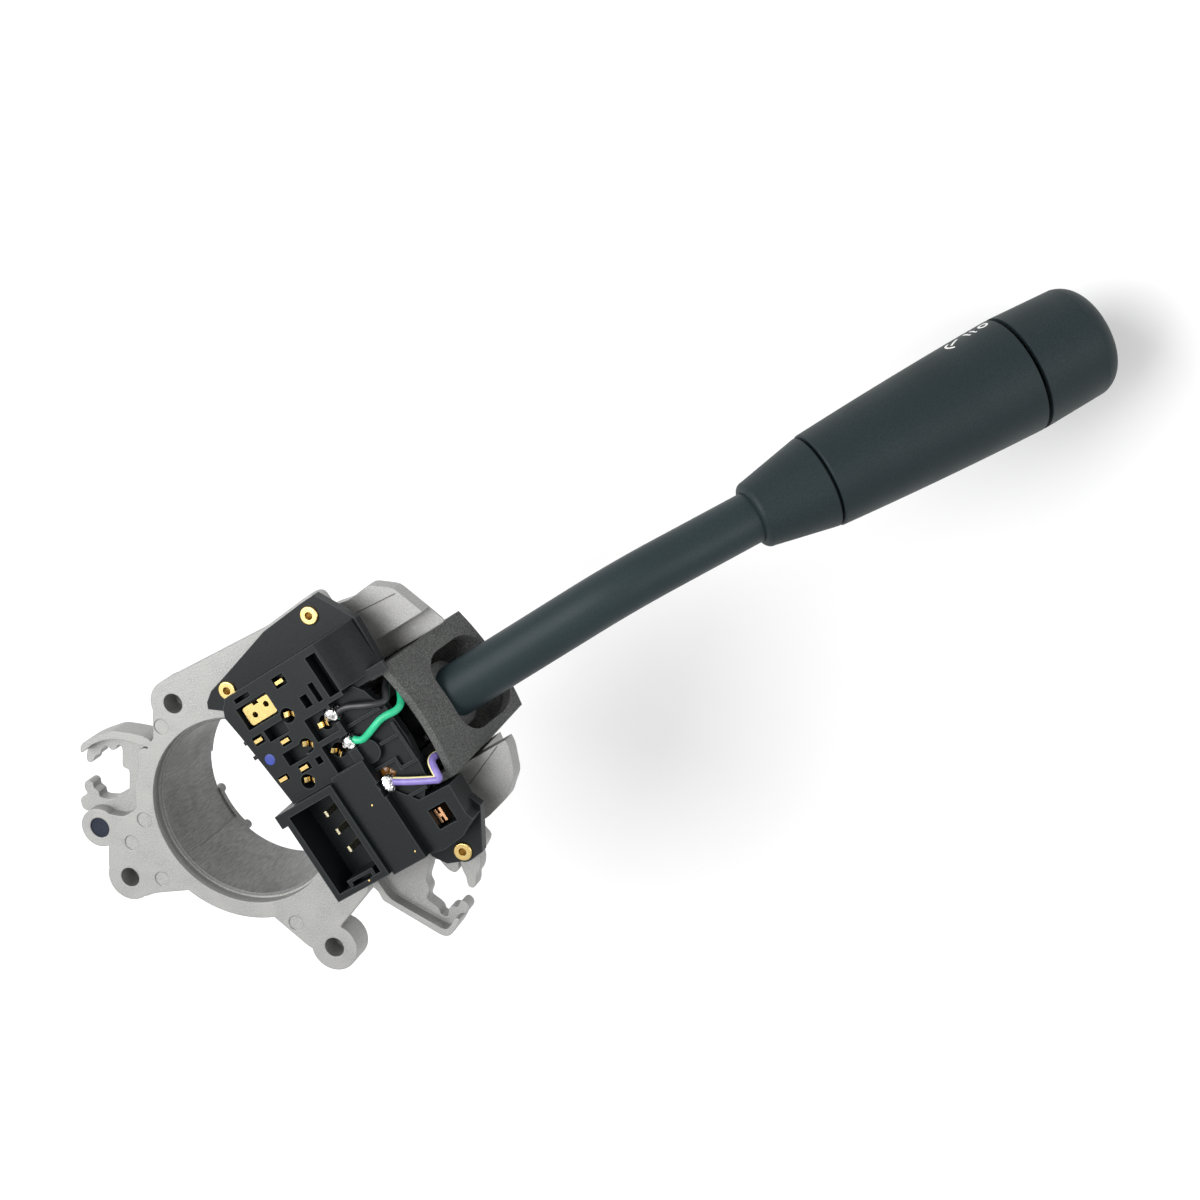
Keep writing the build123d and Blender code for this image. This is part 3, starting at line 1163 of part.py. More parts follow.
for name, radii, path in (
    ("grey", grey_radii, grey_path), ("green", green_radii, green_path), ("violet", violet_radii, violet_path)
):
    print(name, "wire radii", [round(r, 1) for r in radii], "length", round(path.wires()[0].length, 1))
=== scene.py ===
"""Looks of the combination stalk switch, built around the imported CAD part. Units are metres."""
import json
import math

import bpy
from mathutils import Matrix, Vector


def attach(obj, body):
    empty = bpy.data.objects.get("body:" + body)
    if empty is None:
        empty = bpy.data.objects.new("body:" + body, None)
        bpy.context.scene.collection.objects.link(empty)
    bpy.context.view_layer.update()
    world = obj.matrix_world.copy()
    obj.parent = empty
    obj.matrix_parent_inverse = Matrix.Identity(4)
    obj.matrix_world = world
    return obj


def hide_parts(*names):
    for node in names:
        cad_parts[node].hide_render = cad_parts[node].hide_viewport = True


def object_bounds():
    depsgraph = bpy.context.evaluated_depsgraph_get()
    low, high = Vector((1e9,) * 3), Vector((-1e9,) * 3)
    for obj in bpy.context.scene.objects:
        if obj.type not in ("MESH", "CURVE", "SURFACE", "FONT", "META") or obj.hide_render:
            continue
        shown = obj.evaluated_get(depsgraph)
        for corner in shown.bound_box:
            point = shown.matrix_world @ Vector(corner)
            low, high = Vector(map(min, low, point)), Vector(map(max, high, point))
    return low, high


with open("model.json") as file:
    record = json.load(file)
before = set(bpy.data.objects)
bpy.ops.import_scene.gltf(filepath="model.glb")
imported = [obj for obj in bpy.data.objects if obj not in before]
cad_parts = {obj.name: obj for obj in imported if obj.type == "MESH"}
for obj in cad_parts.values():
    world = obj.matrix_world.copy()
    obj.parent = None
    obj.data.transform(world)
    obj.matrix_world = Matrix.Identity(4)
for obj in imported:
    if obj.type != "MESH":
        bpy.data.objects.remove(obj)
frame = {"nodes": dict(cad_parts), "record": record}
cad_low, cad_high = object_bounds()
MM = 0.001

# Camera fitted to the photograph. Its directions in the view are given as right, down and ahead
PHOTO_SIZE = 1200
FOCAL_PX = 2000
SENSOR_W = 36
CLIP_NEAR, CLIP_FAR = 0.01, 20
ORIGIN_PX = (242.0, 811.3)          # where the bracket's bore axis meets its front face
ORIGIN_DEPTH = 0.5
UP_IN_VIEW = Vector((-0.29, 0.283, -0.9143)).normalized()   # the part's +Z
ROLL = math.radians(-30.5)          # of the part's +X in the picture

# Wires, in millimetres: what is seen of a route follows the photograph, the rest the CAD source
WIRE_R = 0.9
GREY_ROUTE = [
    (44.0, 9.6, 8.4), (46.0, 9.9, 8.5), (48.6, 9.0, 8.6), (51.3, 7.8, 8.6), (53.9, 6.5, 8.1),
    (56.1, 5.7, 6.8), (56.0, 8.6, 3.8), (56.0, 10.4, -1.0), (56.2, 10.5, -5.6),
    (56.3, 10.5, -9.8), (56.3, 10.5, -14.0),
]
GREEN_ROUTE = [
    (43.7, 2.2, 8.4), (45.1, 0.7, 8.6), (48.6, 1.6, 9.2), (51.4, 2.5, 9.6), (54.4, 3.3, 9.5),
    (58.0, 2.7, 8.0), (58.0, 3.9, 4.1), (57.9, 8.2, 0.4), (58.8, 10.0, -4.0),
    (59.4, 10.5, -8.8), (59.5, 10.5, -14.0),
]
VIOLET_ROUTE = [
    (46.5, -11.4, 8.4), (48.8, -12.6, 8.6), (52.6, -14.3, 8.8), (55.9, -15.8, 8.7),
    (57.5, -16.5, 8.5), (57.1, -14.3, 7.5), (56.5, -11.6, 5.6), (57.7, -11.6, 3.2),
    (57.6, -12.8, 0.4), (57.7, -14.5, -3.6), (57.9, -14.95, -8.6), (57.9, -14.9, -14.0),
]
STRIPE_OFFSET = 0.62                # from the wire's centre line to the stripe's
STRIPE_R = 0.5
TUBE_STEPS = 12                     # along each stretch between two route points
TUBE_ROUNDNESS = 6
COIL_ROUNDNESS = 3
COIL_STEPS = 20                     # along each turn of a spring

# Lever, as in the CAD source: where its axis bends and where the handle begins
PIVOT = Vector((45.5, -2.2, -7.4)) * MM
BASE_SLOPE = math.radians(13.6)
BASE_RUN = 66.5 * MM
NECK_RUN = 36.0 * MM
HANDLE_SLOPE = math.radians(33.0)
HANDLE_SWING = math.radians(6.1)


def fall_direction(slope, swing):
    """Unit vector that falls by slope and swings towards -Y by swing."""
    return Vector((
        math.cos(slope) * math.cos(swing), -math.cos(slope) * math.sin(swing), -math.sin(slope)
    ))


handle_dir = fall_direction(HANDLE_SLOPE, HANDLE_SWING)
handle_at = PIVOT + fall_direction(BASE_SLOPE, 0) * BASE_RUN + handle_dir * NECK_RUN
handle_side = Vector((-handle_dir.y, handle_dir.x, 0)).normalized()


def add_camera():
    """Camera that sees the part as the photograph does."""
    x_right = math.cos(ROLL)
    x_down = math.sin(ROLL)
    x_ahead = -(x_right * UP_IN_VIEW.x + x_down * UP_IN_VIEW.y) / UP_IN_VIEW.z
    x_in_view = Vector((x_right, x_down, x_ahead)).normalized()
    y_in_view = UP_IN_VIEW.cross(x_in_view)
    right = Vector((x_in_view.x, y_in_view.x, UP_IN_VIEW.x))
    down = Vector((x_in_view.y, y_in_view.y, UP_IN_VIEW.y))
    ahead = Vector((x_in_view.z, y_in_view.z, UP_IN_VIEW.z))
    half = PHOTO_SIZE / 2
    shift_right = (ORIGIN_PX[0] - half) / FOCAL_PX * ORIGIN_DEPTH
    shift_down = (ORIGIN_PX[1] - half) / FOCAL_PX * ORIGIN_DEPTH
    place = -(right * shift_right + down * shift_down + ahead * ORIGIN_DEPTH)
    data = bpy.data.cameras.new("photo_camera")
    data.sensor_width = SENSOR_W
    data.lens = SENSOR_W * FOCAL_PX / PHOTO_SIZE
    data.clip_start = CLIP_NEAR
    data.clip_end = CLIP_FAR
    camera = bpy.data.objects.new("photo_camera", data)
    bpy.context.scene.collection.objects.link(camera)
    turn = Matrix((right, -down, -ahead)).transposed().to_4x4()
    camera.matrix_world = Matrix.Translation(place) @ turn
    bpy.context.scene.camera = camera


def add_curve(name, kind, points, radius, roundness):
    """Round tube along points in metres: one open spline."""
    curve = bpy.data.curves.new(name, "CURVE")
    curve.dimensions = "3D"
    curve.resolution_u = TUBE_STEPS
    curve.bevel_depth = 1            # so that each point's own radius is the tube's
    curve.bevel_resolution = roundness
    curve.use_fill_caps = True
    spline = curve.splines.new(kind)
    spline.points.add(len(points) - 1)
    for point, place in zip(spline.points, points):
        point.co = (*place, 1)
        point.radius = radius
    tube = bpy.data.objects.new(name, curve)
    bpy.context.scene.collection.objects.link(tube)
    return tube


def add_tube(name, route, radius):
    """Smooth tube along a route in millimetres, on the root body."""
    points = [tuple(value * MM for value in place) for place in route]
    tube = add_curve(name, "NURBS", points, radius * MM, TUBE_ROUNDNESS)
    spline = tube.data.splines[0]
    spline.order_u = 3
    spline.use_endpoint_u = True
    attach(tube, "root")
    return tube


def add_wire(name, route):
    """Insulated wire in place of its plain tube."""
    wire = add_tube(name + "_insulation", route, WIRE_R)
    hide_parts(name)
    return wire


def stripe_route(route):
    """Route beside a wire's own, on the side that lies across both the wire and the view."""
    ahead = -bpy.context.scene.camera.matrix_world.col[2].to_3d()
    places = [Vector(place) for place in route]
    result = []
    for before, here, after in zip(places[:1] + places[:-1], places, places[1:] + places[-1:]):
        side = (after - before).cross(ahead).normalized()
        result.append(here + side * STRIPE_OFFSET)
    return result


def spline_length(wire):
    """Length of a wire's centre line."""
    bevel = wire.data.bevel_depth
    wire.data.bevel_depth = 0
    graph = bpy.context.evaluated_depsgraph_get()
    graph.update()
    mesh = bpy.data.meshes.new_from_object(wire.evaluated_get(graph))
    points = [v.co.copy() for v in mesh.vertices]
    bpy.data.meshes.remove(mesh)
    wire.data.bevel_depth = bevel
    return sum((b - a).length for a, b in zip(points, points[1:]))


add_camera()
stripe = add_tube("violet_wire_stripe", stripe_route(VIOLET_ROUTE), STRIPE_R)
wires = {}
for wire_name, wire_route in (
    ("grey_wire", GREY_ROUTE), ("green_wire", GREEN_ROUTE), ("violet_wire", VIOLET_ROUTE)
):
    wires[wire_name] = add_wire(wire_name, wire_route)
    wire_length = spline_length(wires[wire_name])


# Materials
SOFTEN_SAMPLES = 4
# The edge mask below lays a painted highlight on the outer edges of moulded plastic
EDGE_SAMPLES = 6
EDGE_SPAN = (0.9, 0.55)             # openness inside the solid, from a flat face to an edge
EDGE_REACH = 0.3 * MM
BORE_LIMIT = 24.3 * MM              # the scored skin ends here, inside the lip's step
PLASTIC_SPECULAR = 0.2
CAST_METALLIC = 0.7
SCORE_TURN = (0.5, 0.35, 0)         # direction of the scores in the bore
HANDLED_SHARE = 0.15                # of the lighter colour where a plastic is worn smooth


class Shader:
    """A material under construction: its nodes, links and principled shader."""

    def __init__(self, name):
        self.material = bpy.data.materials.new(name)
        self.material.use_nodes = True
        self.nodes = self.material.node_tree.nodes
        self.links = self.material.node_tree.links
        self.shader = self.nodes["Principled BSDF"]
        self.coords = self.nodes.new("ShaderNodeTexCoord")

    def set(self, **values):
        """Sets inputs of the principled shader."""
        for key, value in values.items():
            self.shader.inputs[key.replace("_", " ")].default_value = value

    def node(self, kind, **values):
        """New node with these inputs."""
        made = self.nodes.new(kind)
        for key, value in values.items():
            made.inputs[key.replace("_", " ")].default_value = value
        return made

    def noise(self, size, detail=2.0, roughness=0.5, distortion=0.0):
        """Noise whose features are about size metres wide."""
        made = self.node(
            "ShaderNodeTexNoise", Scale=1.0 / size, Detail=detail, Roughness=roughness,
            Distortion=distortion,
        )
        self.links.new(self.coords.outputs["Object"], made.inputs["Vector"])
        return made.outputs["Fac"]

    def cells(self, size):
        """Rounded cells about size metres wide."""
        made = self.node("ShaderNodeTexVoronoi", Scale=1.0 / size)
        made.feature = "SMOOTH_F1"
        self.links.new(self.coords.outputs["Object"], made.inputs["Vector"])
        return made.outputs["Distance"]

    def ramp(self, source, low, high, low_value=0, high_value=1):
        """Maps a source from low..high to low_value..high_value."""
        made = self.node(
            "ShaderNodeMapRange", From_Min=low, From_Max=high, To_Min=low_value, To_Max=high_value
        )
        self.links.new(source, made.inputs["Value"])
        return made.outputs["Result"]

    def blend(self, source, colour_a, colour_b):
        """Mixes two colours, each a tuple or a socket."""
        made = self.nodes.new("ShaderNodeMix")
        made.data_type = "RGBA"
        self.links.new(source, made.inputs["Factor"])
        for key, colour in (("A", colour_a), ("B", colour_b)):
            socket = [s for s in made.inputs if s.name == key and s.type == "RGBA"][0]
            if isinstance(colour, bpy.types.NodeSocket):
                self.links.new(colour, socket)
            else:
                socket.default_value = (*colour, 1)
        return [s for s in made.outputs if s.type == "RGBA"][0]

    def maths(self, kind, a, b):
        """Arithmetic on two sockets or numbers."""
        made = self.nodes.new("ShaderNodeMath")
        made.operation = kind
        for socket, value in zip(made.inputs, (a, b)):
            if isinstance(value, bpy.types.NodeSocket):
                self.links.new(value, socket)
            else:
                socket.default_value = value
        return made.outputs[0]

    def colour(self, socket):
        """Links the base colour."""
        self.links.new(socket, self.shader.inputs["Base Color"])

    def rough(self, socket):
        """Links the roughness."""
        self.links.new(socket, self.shader.inputs["Roughness"])

    def bump(self, height, depth, strength=1.0):
        """Bump of a height from 0 to 1, depth metres deep."""
        made = self.node("ShaderNodeBump", Strength=strength, Distance=depth)
        self.links.new(height, made.inputs["Height"])
        before = self.shader.inputs["Normal"]
        if before.is_linked:
            self.links.new(before.links[0].from_socket, made.inputs["Normal"])
        self.links.new(made.outputs["Normal"], self.shader.inputs["Normal"])

    def soften(self, radius):
        """Rounds the look of sharp edges. It comes before any bump."""
        made = self.node("ShaderNodeBevel", Radius=radius)
        made.samples = SOFTEN_SAMPLES
        self.links.new(made.outputs["Normal"], self.shader.inputs["Normal"])

    def edges(self, reach):
        """Mask of the painted edge highlight: 0 on flat faces and up to 1 within reach of an outer
        edge.
        """
        made = self.node("ShaderNodeAmbientOcclusion", Distance=reach)
        made.samples = EDGE_SAMPLES
        made.inside = True
        made.only_local = True
        return self.ramp(made.outputs["AO"], *EDGE_SPAN)

    def bore_mask(self, radius):
        """1 inside a cylinder of this radius round the part's own Z axis, otherwise 0."""
        split = self.nodes.new("ShaderNodeSeparateXYZ")
        self.links.new(self.coords.outputs["Object"], split.inputs["Vector"])
        x, y = split.outputs["X"], split.outputs["Y"]
        squares = self.maths("ADD", self.maths("MULTIPLY", x, x), self.maths("MULTIPLY", y, y))
        return self.maths("LESS_THAN", squares, radius**2)

    def streaks(self, width, stretch, turn):
        """Noise drawn out into streaks: width metres wide, stretched along a turned axis."""
        mapping = self.node("ShaderNodeMapping", Rotation=turn, Scale=(1, 1, 1 / stretch))
        self.links.new(self.coords.outputs["Object"], mapping.inputs["Vector"])
        made = self.node("ShaderNodeTexNoise", Scale=1.0 / width, Detail=2.0, Roughness=0.6)
        self.links.new(mapping.outputs["Vector"], made.inputs["Vector"])
        return made.outputs["Fac"]


def cast_metal():
    """Die-cast light alloy: fine grain, flow marks, small pits and a scored bore coloured darker
    than the rest.
    """
    made = Shader("cast_aluminium")
    made.set(Metallic=CAST_METALLIC)
    made.soften(0.35 * MM)
    patches = made.noise(9 * MM, detail=3, roughness=0.6, distortion=0.6)
    grain = made.noise(0.35 * MM, detail=4, roughness=0.7)
    pits = made.cells(1.1 * MM)
    flow = made.blend(made.ramp(patches, 0.35, 0.65), (0.215, 0.217, 0.212), (0.285, 0.284, 0.276))
    speck = made.blend(made.ramp(grain, 0.35, 0.7), flow, (0.36, 0.358, 0.348))
    scores = made.streaks(0.3 * MM, 9, SCORE_TURN)
    # The bore is coloured darker than the faces around it
    scored = made.blend(
        made.ramp(scores, 0.35, 0.7), (0.125, 0.128, 0.124), (0.215, 0.216, 0.21)
    )
    made.colour(made.blend(made.bore_mask(BORE_LIMIT), speck, scored))
    made.rough(made.ramp(patches, 0.3, 0.7, 0.42, 0.58))
    made.bump(made.ramp(grain, 0.3, 0.7), 0.05 * MM, 0.6)
    made.bump(made.ramp(pits, 0.0, 0.25), 0.03 * MM, 0.35)
    return made.material


def moulded(name, dark, light, grain_size, grain_depth, rough_low, rough_high, painted_edge_highlight):
    """Moulded plastic with a grained skin and, where a highlight colour is given, outer edges
    lightened by a painted highlight.
    """
    made = Shader(name)
    made.set(Specular_IOR_Level=PLASTIC_SPECULAR)
    made.soften(0.2 * MM)
    grain = made.noise(grain_size, detail=3, roughness=0.6)
    clouds = made.noise(14 * MM, detail=2)
    shade = made.blend(made.ramp(grain, 0.35, 0.65), dark, light)
    handled = tuple(
        (1 - HANDLED_SHARE) * low + HANDLED_SHARE * high for low, high in zip(dark, light)
    )
    mixed = made.blend(made.ramp(clouds, 0.4, 0.7, 0, 0.5), shade, handled)
    # Painted highlight: outer edges lightened in colour as if they caught the light
    if painted_edge_highlight:
        mixed = made.blend(made.edges(EDGE_REACH), mixed, painted_edge_highlight)
    made.colour(mixed)
    made.rough(made.ramp(clouds, 0.3, 0.7, rough_low, rough_high))
    made.bump(grain, grain_depth)
    return made.material


def plated(name, bright, dull, rough_low, rough_high):
    """Plated or bare metal with faint stains."""
    made = Shader(name)
    made.set(Metallic=1.0)
    made.soften(0.1 * MM)
    stains = made.noise(1.6 * MM, detail=3, roughness=0.6)
    made.colour(made.blend(made.ramp(stains, 0.35, 0.7), bright, dull))
    made.rough(made.ramp(stains, 0.3, 0.7, rough_low, rough_high))
    made.bump(made.noise(0.25 * MM, detail=2), 0.01 * MM, 0.5)
    return made.material


def solder_metal():
    """Bright solder with an uneven skin that mirrors light and dark, with dark patches painted into
    its colour as painted reflections.
    """
    made = Shader("solder")
    made.set(Metallic=1.0, Roughness=0.12)
    lumps = made.noise(1.0 * MM, detail=1)
    # Painted reflections: dark patches in the colour stand in for dark surroundings mirrored in the
    # lumps
    made.colour(
        made.blend(made.ramp(lumps, 0.3, 0.45), (0.34, 0.33, 0.31), (0.93, 0.93, 0.92))
    )
    made.bump(lumps, 0.6 * MM)
    return made.material


def wire_skin(name, dark, light):
    """Soft wire insulation with a slight sheen."""
    made = Shader(name)
    made.set(Roughness=0.38, Specular_IOR_Level=0.5)
    clouds = made.noise(2.5 * MM, detail=2)
    made.colour(made.blend(made.ramp(clouds, 0.35, 0.65), dark, light))
    made.bump(made.noise(0.5 * MM, detail=2), 0.015 * MM, 0.5)
    return made.material


# Dark and light colour, grain size and depth in millimetres, roughness from and to, colour of the
# painted highlight on outer edges
PLASTICS = {
    "housing_plastic": (
        (0.0045, 0.006, 0.0068), (0.009, 0.011, 0.012), 0.5, 0.008, 0.34, 0.44,
        # colour of the painted highlight on the housing's outer edges
        (0.040, 0.045, 0.048),
    ),
    "cover_plastic": (
        (0.036, 0.038, 0.037), (0.105, 0.108, 0.104), 0.42, 0.09, 0.5, 0.6, None
    ),
    "stalk_plastic": (
        (0.012, 0.0205, 0.0235), (0.019, 0.0305, 0.034), 0.3, 0.02, 0.42, 0.5, None
    ),
    "handle_plastic": (
        (0.0085, 0.0155, 0.0175), (0.0145, 0.024, 0.027), 0.38, 0.04, 0.48, 0.56, None
    ),
    # Painted shade: the inner parts are natural plastic, coloured near-black like the shaded cavity
    # they sit in
    "inner_plastic": (
        (0.007, 0.0075, 0.008), (0.011, 0.012, 0.0125), 0.6, 0.01, 0.4, 0.5, None
    ),
    "plug_rubber": (
        (0.008, 0.012, 0.022), (0.015, 0.020, 0.034), 0.8, 0.02, 0.4, 0.5, None
    ),
}
# Bright and dull colour, roughness from and to
METALS = {
    "brass": ((0.80, 0.60, 0.24), (0.60, 0.42, 0.16), 0.2, 0.34),
    "copper": ((0.80, 0.45, 0.24), (0.60, 0.32, 0.17), 0.22, 0.36),
    "tinned_pin": ((0.78, 0.70, 0.48), (0.60, 0.53, 0.36), 0.22, 0.34),
    "steel": ((0.62, 0.62, 0.62), (0.46, 0.46, 0.46), 0.25, 0.4),
}
# Dark and light colour
SKINS = {
    "grey_wire": ((0.010, 0.010, 0.012), (0.018, 0.018, 0.021)),
    "green_wire": ((0.012, 0.36, 0.17), (0.02, 0.44, 0.22)),
    "violet_wire": ((0.15, 0.115, 0.34), (0.20, 0.155, 0.42)),
}
materials = {"cast_aluminium": cast_metal(), "solder": solder_metal()}
for name, (dark, light, grain_mm, depth_mm, rough_low, rough_high, painted_edge_highlight) in PLASTICS.items():
    materials[name] = moulded(
        name, dark, light, grain_mm * MM, depth_mm * MM, rough_low, rough_high, painted_edge_highlight
    )
for name, look in METALS.items():
    materials[name] = plated(name, *look)
for name, look in SKINS.items():
    materials[name] = wire_skin(name, *look)
slot_of = {row["node"]: row["material_slot"] for row in frame["record"]["subparts"]}
for node_name, node in frame["nodes"].items():
    node.data.materials.clear()
    node.data.materials.append(materials[slot_of[node_name]])
for wire_name, wire in wires.items():
    wire.data.materials.append(materials[wire_name])
stripe.data.materials.append(wire_skin("stripe_yellow", (0.62, 0.56, 0.26), (0.70, 0.64, 0.34)))


# Small things that the solids leave plain
def walls(a, b):
    """Faces between two rings of four corners that begin at a and b."""
    return [(a + k, a + (k + 1) % 4, b + (k + 1) % 4, b + k) for k in range(4)]


def node_places(name):
    """Corners of a CAD node's mesh."""
    node = frame["nodes"][name]
    return [node.matrix_world @ corner.co for corner in node.data.vertices]


def add_piece(name, corners, faces, body, material):
    """Mesh piece on a body."""
    mesh = bpy.data.meshes.new(name)
    mesh.from_pydata(corners, [], faces)
    mesh.validate()
    piece = bpy.data.objects.new(name, mesh)
    bpy.context.scene.collection.objects.link(piece)
    mesh.materials.append(material)
    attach(piece, body)
    return piece


def tube_span(name, axis, wire_r):
    """Middle of a plain tube, and where along its axis a coil begins that fills its length."""
    places = node_places(name)
    middle = sum(places, Vector()) / len(places)
    along = [(place - middle).dot(axis) for place in places]
    start = min(along) + wire_r
    return middle, start, max(along) - wire_r - start


def add_coil(name, body, axis, side, coil_r, wire_r, turns, span, leg_end=None):
    """Wire coil in place of a plain tube. A leg runs straight from leg_end to its first turn."""
    middle, start, length = span
    up = axis.cross(side)
    steps = turns * COIL_STEPS
    points = [] if leg_end is None else [leg_end]
    for step in range(steps + 1):
        turn = 2 * math.pi * turns * step / steps
        reach = start + length * step / steps
        round_axis = side * math.cos(turn) + up * math.sin(turn)
        points.append(middle + axis * reach + round_axis * coil_r)
    coil = add_curve(name + "_wire", "POLY", points, wire_r, COIL_ROUNDNESS)
    coil.data.materials.append(materials["steel"])
    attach(coil, body)
    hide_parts(name)


X_AXIS, Y_AXIS, Z_AXIS = Vector((1, 0, 0)), Vector((0, 1, 0)), Vector((0, 0, 1))
DETENT_COIL_R, DETENT_WIRE_R = 1.4 * MM, 0.28 * MM
WASHER_COIL_R, WASHER_WIRE_R = 3.0 * MM, 0.4 * MM
TILT_COIL_R, TILT_WIRE_R = 2.3 * MM, 0.42 * MM
add_coil(
    "detent_spring", "carrier", X_AXIS, Y_AXIS, DETENT_COIL_R, DETENT_WIRE_R, 5,
    tube_span("detent_spring", X_AXIS, DETENT_WIRE_R),
)
add_coil(
    "washer_spring", "rotor", handle_dir, handle_side, WASHER_COIL_R, WASHER_WIRE_R, 6,
    tube_span("washer_spring", handle_dir, WASHER_WIRE_R),
)
tilt_places = node_places("tilt_spring")
tilt_left = max(place.y for place in tilt_places)
tilt_right = min(place.y for place in tilt_places)
tilt_back = min(place.x for place in tilt_places)
add_coil(
    "tilt_spring", "carrier", -Y_AXIS, Z_AXIS, TILT_COIL_R, TILT_WIRE_R, 3,
    (
        Vector((PIVOT.x, 0, PIVOT.z)), -tilt_left + TILT_WIRE_R,
        tilt_left - tilt_right - 2 * TILT_WIRE_R,
    ),
    leg_end=Vector((tilt_back + TILT_WIRE_R, tilt_left - TILT_WIRE_R, PIVOT.z + TILT_COIL_R)),
)

# Solder: lumpy instead of round
LUMP_SIZE, LUMP_HEIGHT = 2.2 * MM, 1.0 * MM
LUMP_MIDDLE = 0.3                    # texture value that leaves the ball's surface in place
lumps = bpy.data.textures.new("solder_lumps", "CLOUDS")
lumps.noise_scale = LUMP_SIZE
lumps.noise_depth = 0
push = frame["nodes"]["solder_joints"].modifiers.new("lumps", "DISPLACE")
push.texture = lumps
push.texture_coords = "LOCAL"
push.strength = LUMP_HEIGHT
push.mid_level = LUMP_MIDDLE


# Spring contacts, in millimetres: two bowed leaves in each well, which nearly meet and then flare
WELLS = [(33.0, 15.2), (32.8, 6.7), (39.4, 8.9), (38.2, 1.6), (27.6, -0.9)]
LEAF_TURNS = [-20, -32, -10, -50, -27]
LEAF_STEPS = 14
LEAF_T = 0.22
LEAF_FOOT_Z, LEAF_THROAT_Z, LEAF_TIP_Z = 5.15, 8.2, 9.25
LEAF_THROAT = 0.22                  # from the well's middle to a leaf where they nearly meet
LEAF_FOOT_BOW, LEAF_TIP_BOW = 1.3, 0.95
LEAF_FLARE = 1.6
LEAF_HALF_W = 0.85
LEAF_TAPER = 0.25


def leaf_profile():
    """Distance from the well's middle, height and half width along a leaf, from foot to tip."""
    for step in range(LEAF_STEPS + 1):
        z = LEAF_FOOT_Z + (LEAF_TIP_Z - LEAF_FOOT_Z) * step / LEAF_STEPS
        if z < LEAF_THROAT_Z:
            below = (LEAF_THROAT_Z - z) / (LEAF_THROAT_Z - LEAF_FOOT_Z)
            bow = LEAF_FOOT_BOW * below**2
        else:
            above = (z - LEAF_THROAT_Z) / (LEAF_TIP_Z - LEAF_THROAT_Z)
            bow = LEAF_TIP_BOW * above**LEAF_FLARE
        yield LEAF_THROAT + bow, z, LEAF_HALF_W * (1 - LEAF_TAPER * step / LEAF_STEPS)


def add_leaves():
    """All leaves as one piece, in place of the plain ones."""
    corners = []
    faces = []
    for (x, y), turn in zip(WELLS, LEAF_TURNS):
        for half in (0, 180):
            angle = math.radians(turn + half)
            out = Vector((math.cos(angle), math.sin(angle), 0))
            side = Vector((-out.y, out.x, 0))
            for row, (reach, z, half_w) in enumerate(leaf_profile()):
                inner = Vector((x, y, z)) + out * reach
                outer = inner + out * LEAF_T
                edge = side * half_w
                ring = (inner - edge, inner + edge, outer + edge, outer - edge)
                corners += [place * MM for place in ring]
                b = len(corners) - 4
                if row:
                    faces += walls(b - 4, b)
                else:
                    faces.append((b + 3, b + 2, b + 1, b))
            faces.append((b, b + 1, b + 2, b + 3))
    leaves = add_piece("spring_contact_leaves", corners, faces, "root", materials["brass"])
    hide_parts("spring_contacts")


add_leaves()


def ray_to(pixel):
    """Direction from the camera through a pixel of the photograph."""
    half = PHOTO_SIZE / 2
    ray = Vector(((pixel[0] - half) / FOCAL_PX, (half - pixel[1]) / FOCAL_PX, -1))
    return (bpy.context.scene.camera.matrix_world.to_3x3() @ ray).normalized()


def surface(origin, ray):
    """First point that a ray meets, and the surface's normal there."""
    graph = bpy.context.evaluated_depsgraph_get()
    found, place, normal, *_ = bpy.context.scene.ray_cast(graph, origin, ray)
    if not found:
        raise ValueError("the ray meets nothing")
    return place, normal


def seen_surface(pixel):
    """Place that the photograph shows at a pixel, and the surface's normal towards the camera."""
    eye = bpy.context.scene.camera.matrix_world.translation
    place, normal = surface(eye, ray_to(pixel))
    if normal.dot(eye - place) < 0:
        normal = -normal
    return place, normal


DROP_SIDES, DROP_RINGS = 28, 5
DROP_CLOSE = 0.98                   # share of a quarter turn that the rings rise over
DROP_ROOT, DROP_SINK = 0.1 * MM, 0.02 * MM


def add_drop(name, pixel, wide, long, high, material, uneven):
    """Flat drop on the surface that the photograph shows at a pixel."""
    place, normal = seen_surface(pixel)
    u = normal.orthogonal().normalized()
    v = normal.cross(u)
    corners = [place - normal * DROP_ROOT]
    for ring in range(DROP_RINGS + 1):
        rise = math.pi / 2 * ring / DROP_RINGS
        lift = math.sin(rise) * high
        spread = math.cos(rise * DROP_CLOSE)
        for step in range(DROP_SIDES):
            turn = 2 * math.pi * step / DROP_SIDES
            wave = 1 + uneven * math.sin(3 * turn + 0.7) * math.sin(turn * 2 + 0.3)
            offset = u * math.cos(turn) * wide + v * math.sin(turn) * long
            corners.append(place + offset * wave * spread + normal * (lift - DROP_SINK))
    faces = [(0, 1 + (step + 1) % DROP_SIDES, 1 + step) for step in range(DROP_SIDES)]
    for ring in range(DROP_RINGS):
        for step in range(DROP_SIDES):
            a = 1 + ring * DROP_SIDES + step
            b = 1 + ring * DROP_SIDES + (step + 1) % DROP_SIDES
            faces.append((a, b, b + DROP_SIDES, a + DROP_SIDES))
    last = 1 + DROP_RINGS * DROP_SIDES
    faces.append(tuple(range(last, last + DROP_SIDES)))
    drop = add_piece(name, corners, faces, "root", material)
    for face in drop.data.polygons:
        face.use_smooth = True


PAINT_SHADE = 0.75                  # of a paint's colour in its darker clouds


def paint(name, colour, roughness):
    """Even paint or lacquer with faint clouds."""
    made = Shader(name)
    made.set(Roughness=roughness)
    clouds = made.noise(1.2 * MM, detail=2)
    shade = [PAINT_SHADE * value for value in colour]
    made.colour(made.blend(made.ramp(clouds, 0.3, 0.7), colour, shade))
    made.bump(clouds, 0.03 * MM, 0.5)
    return made.material


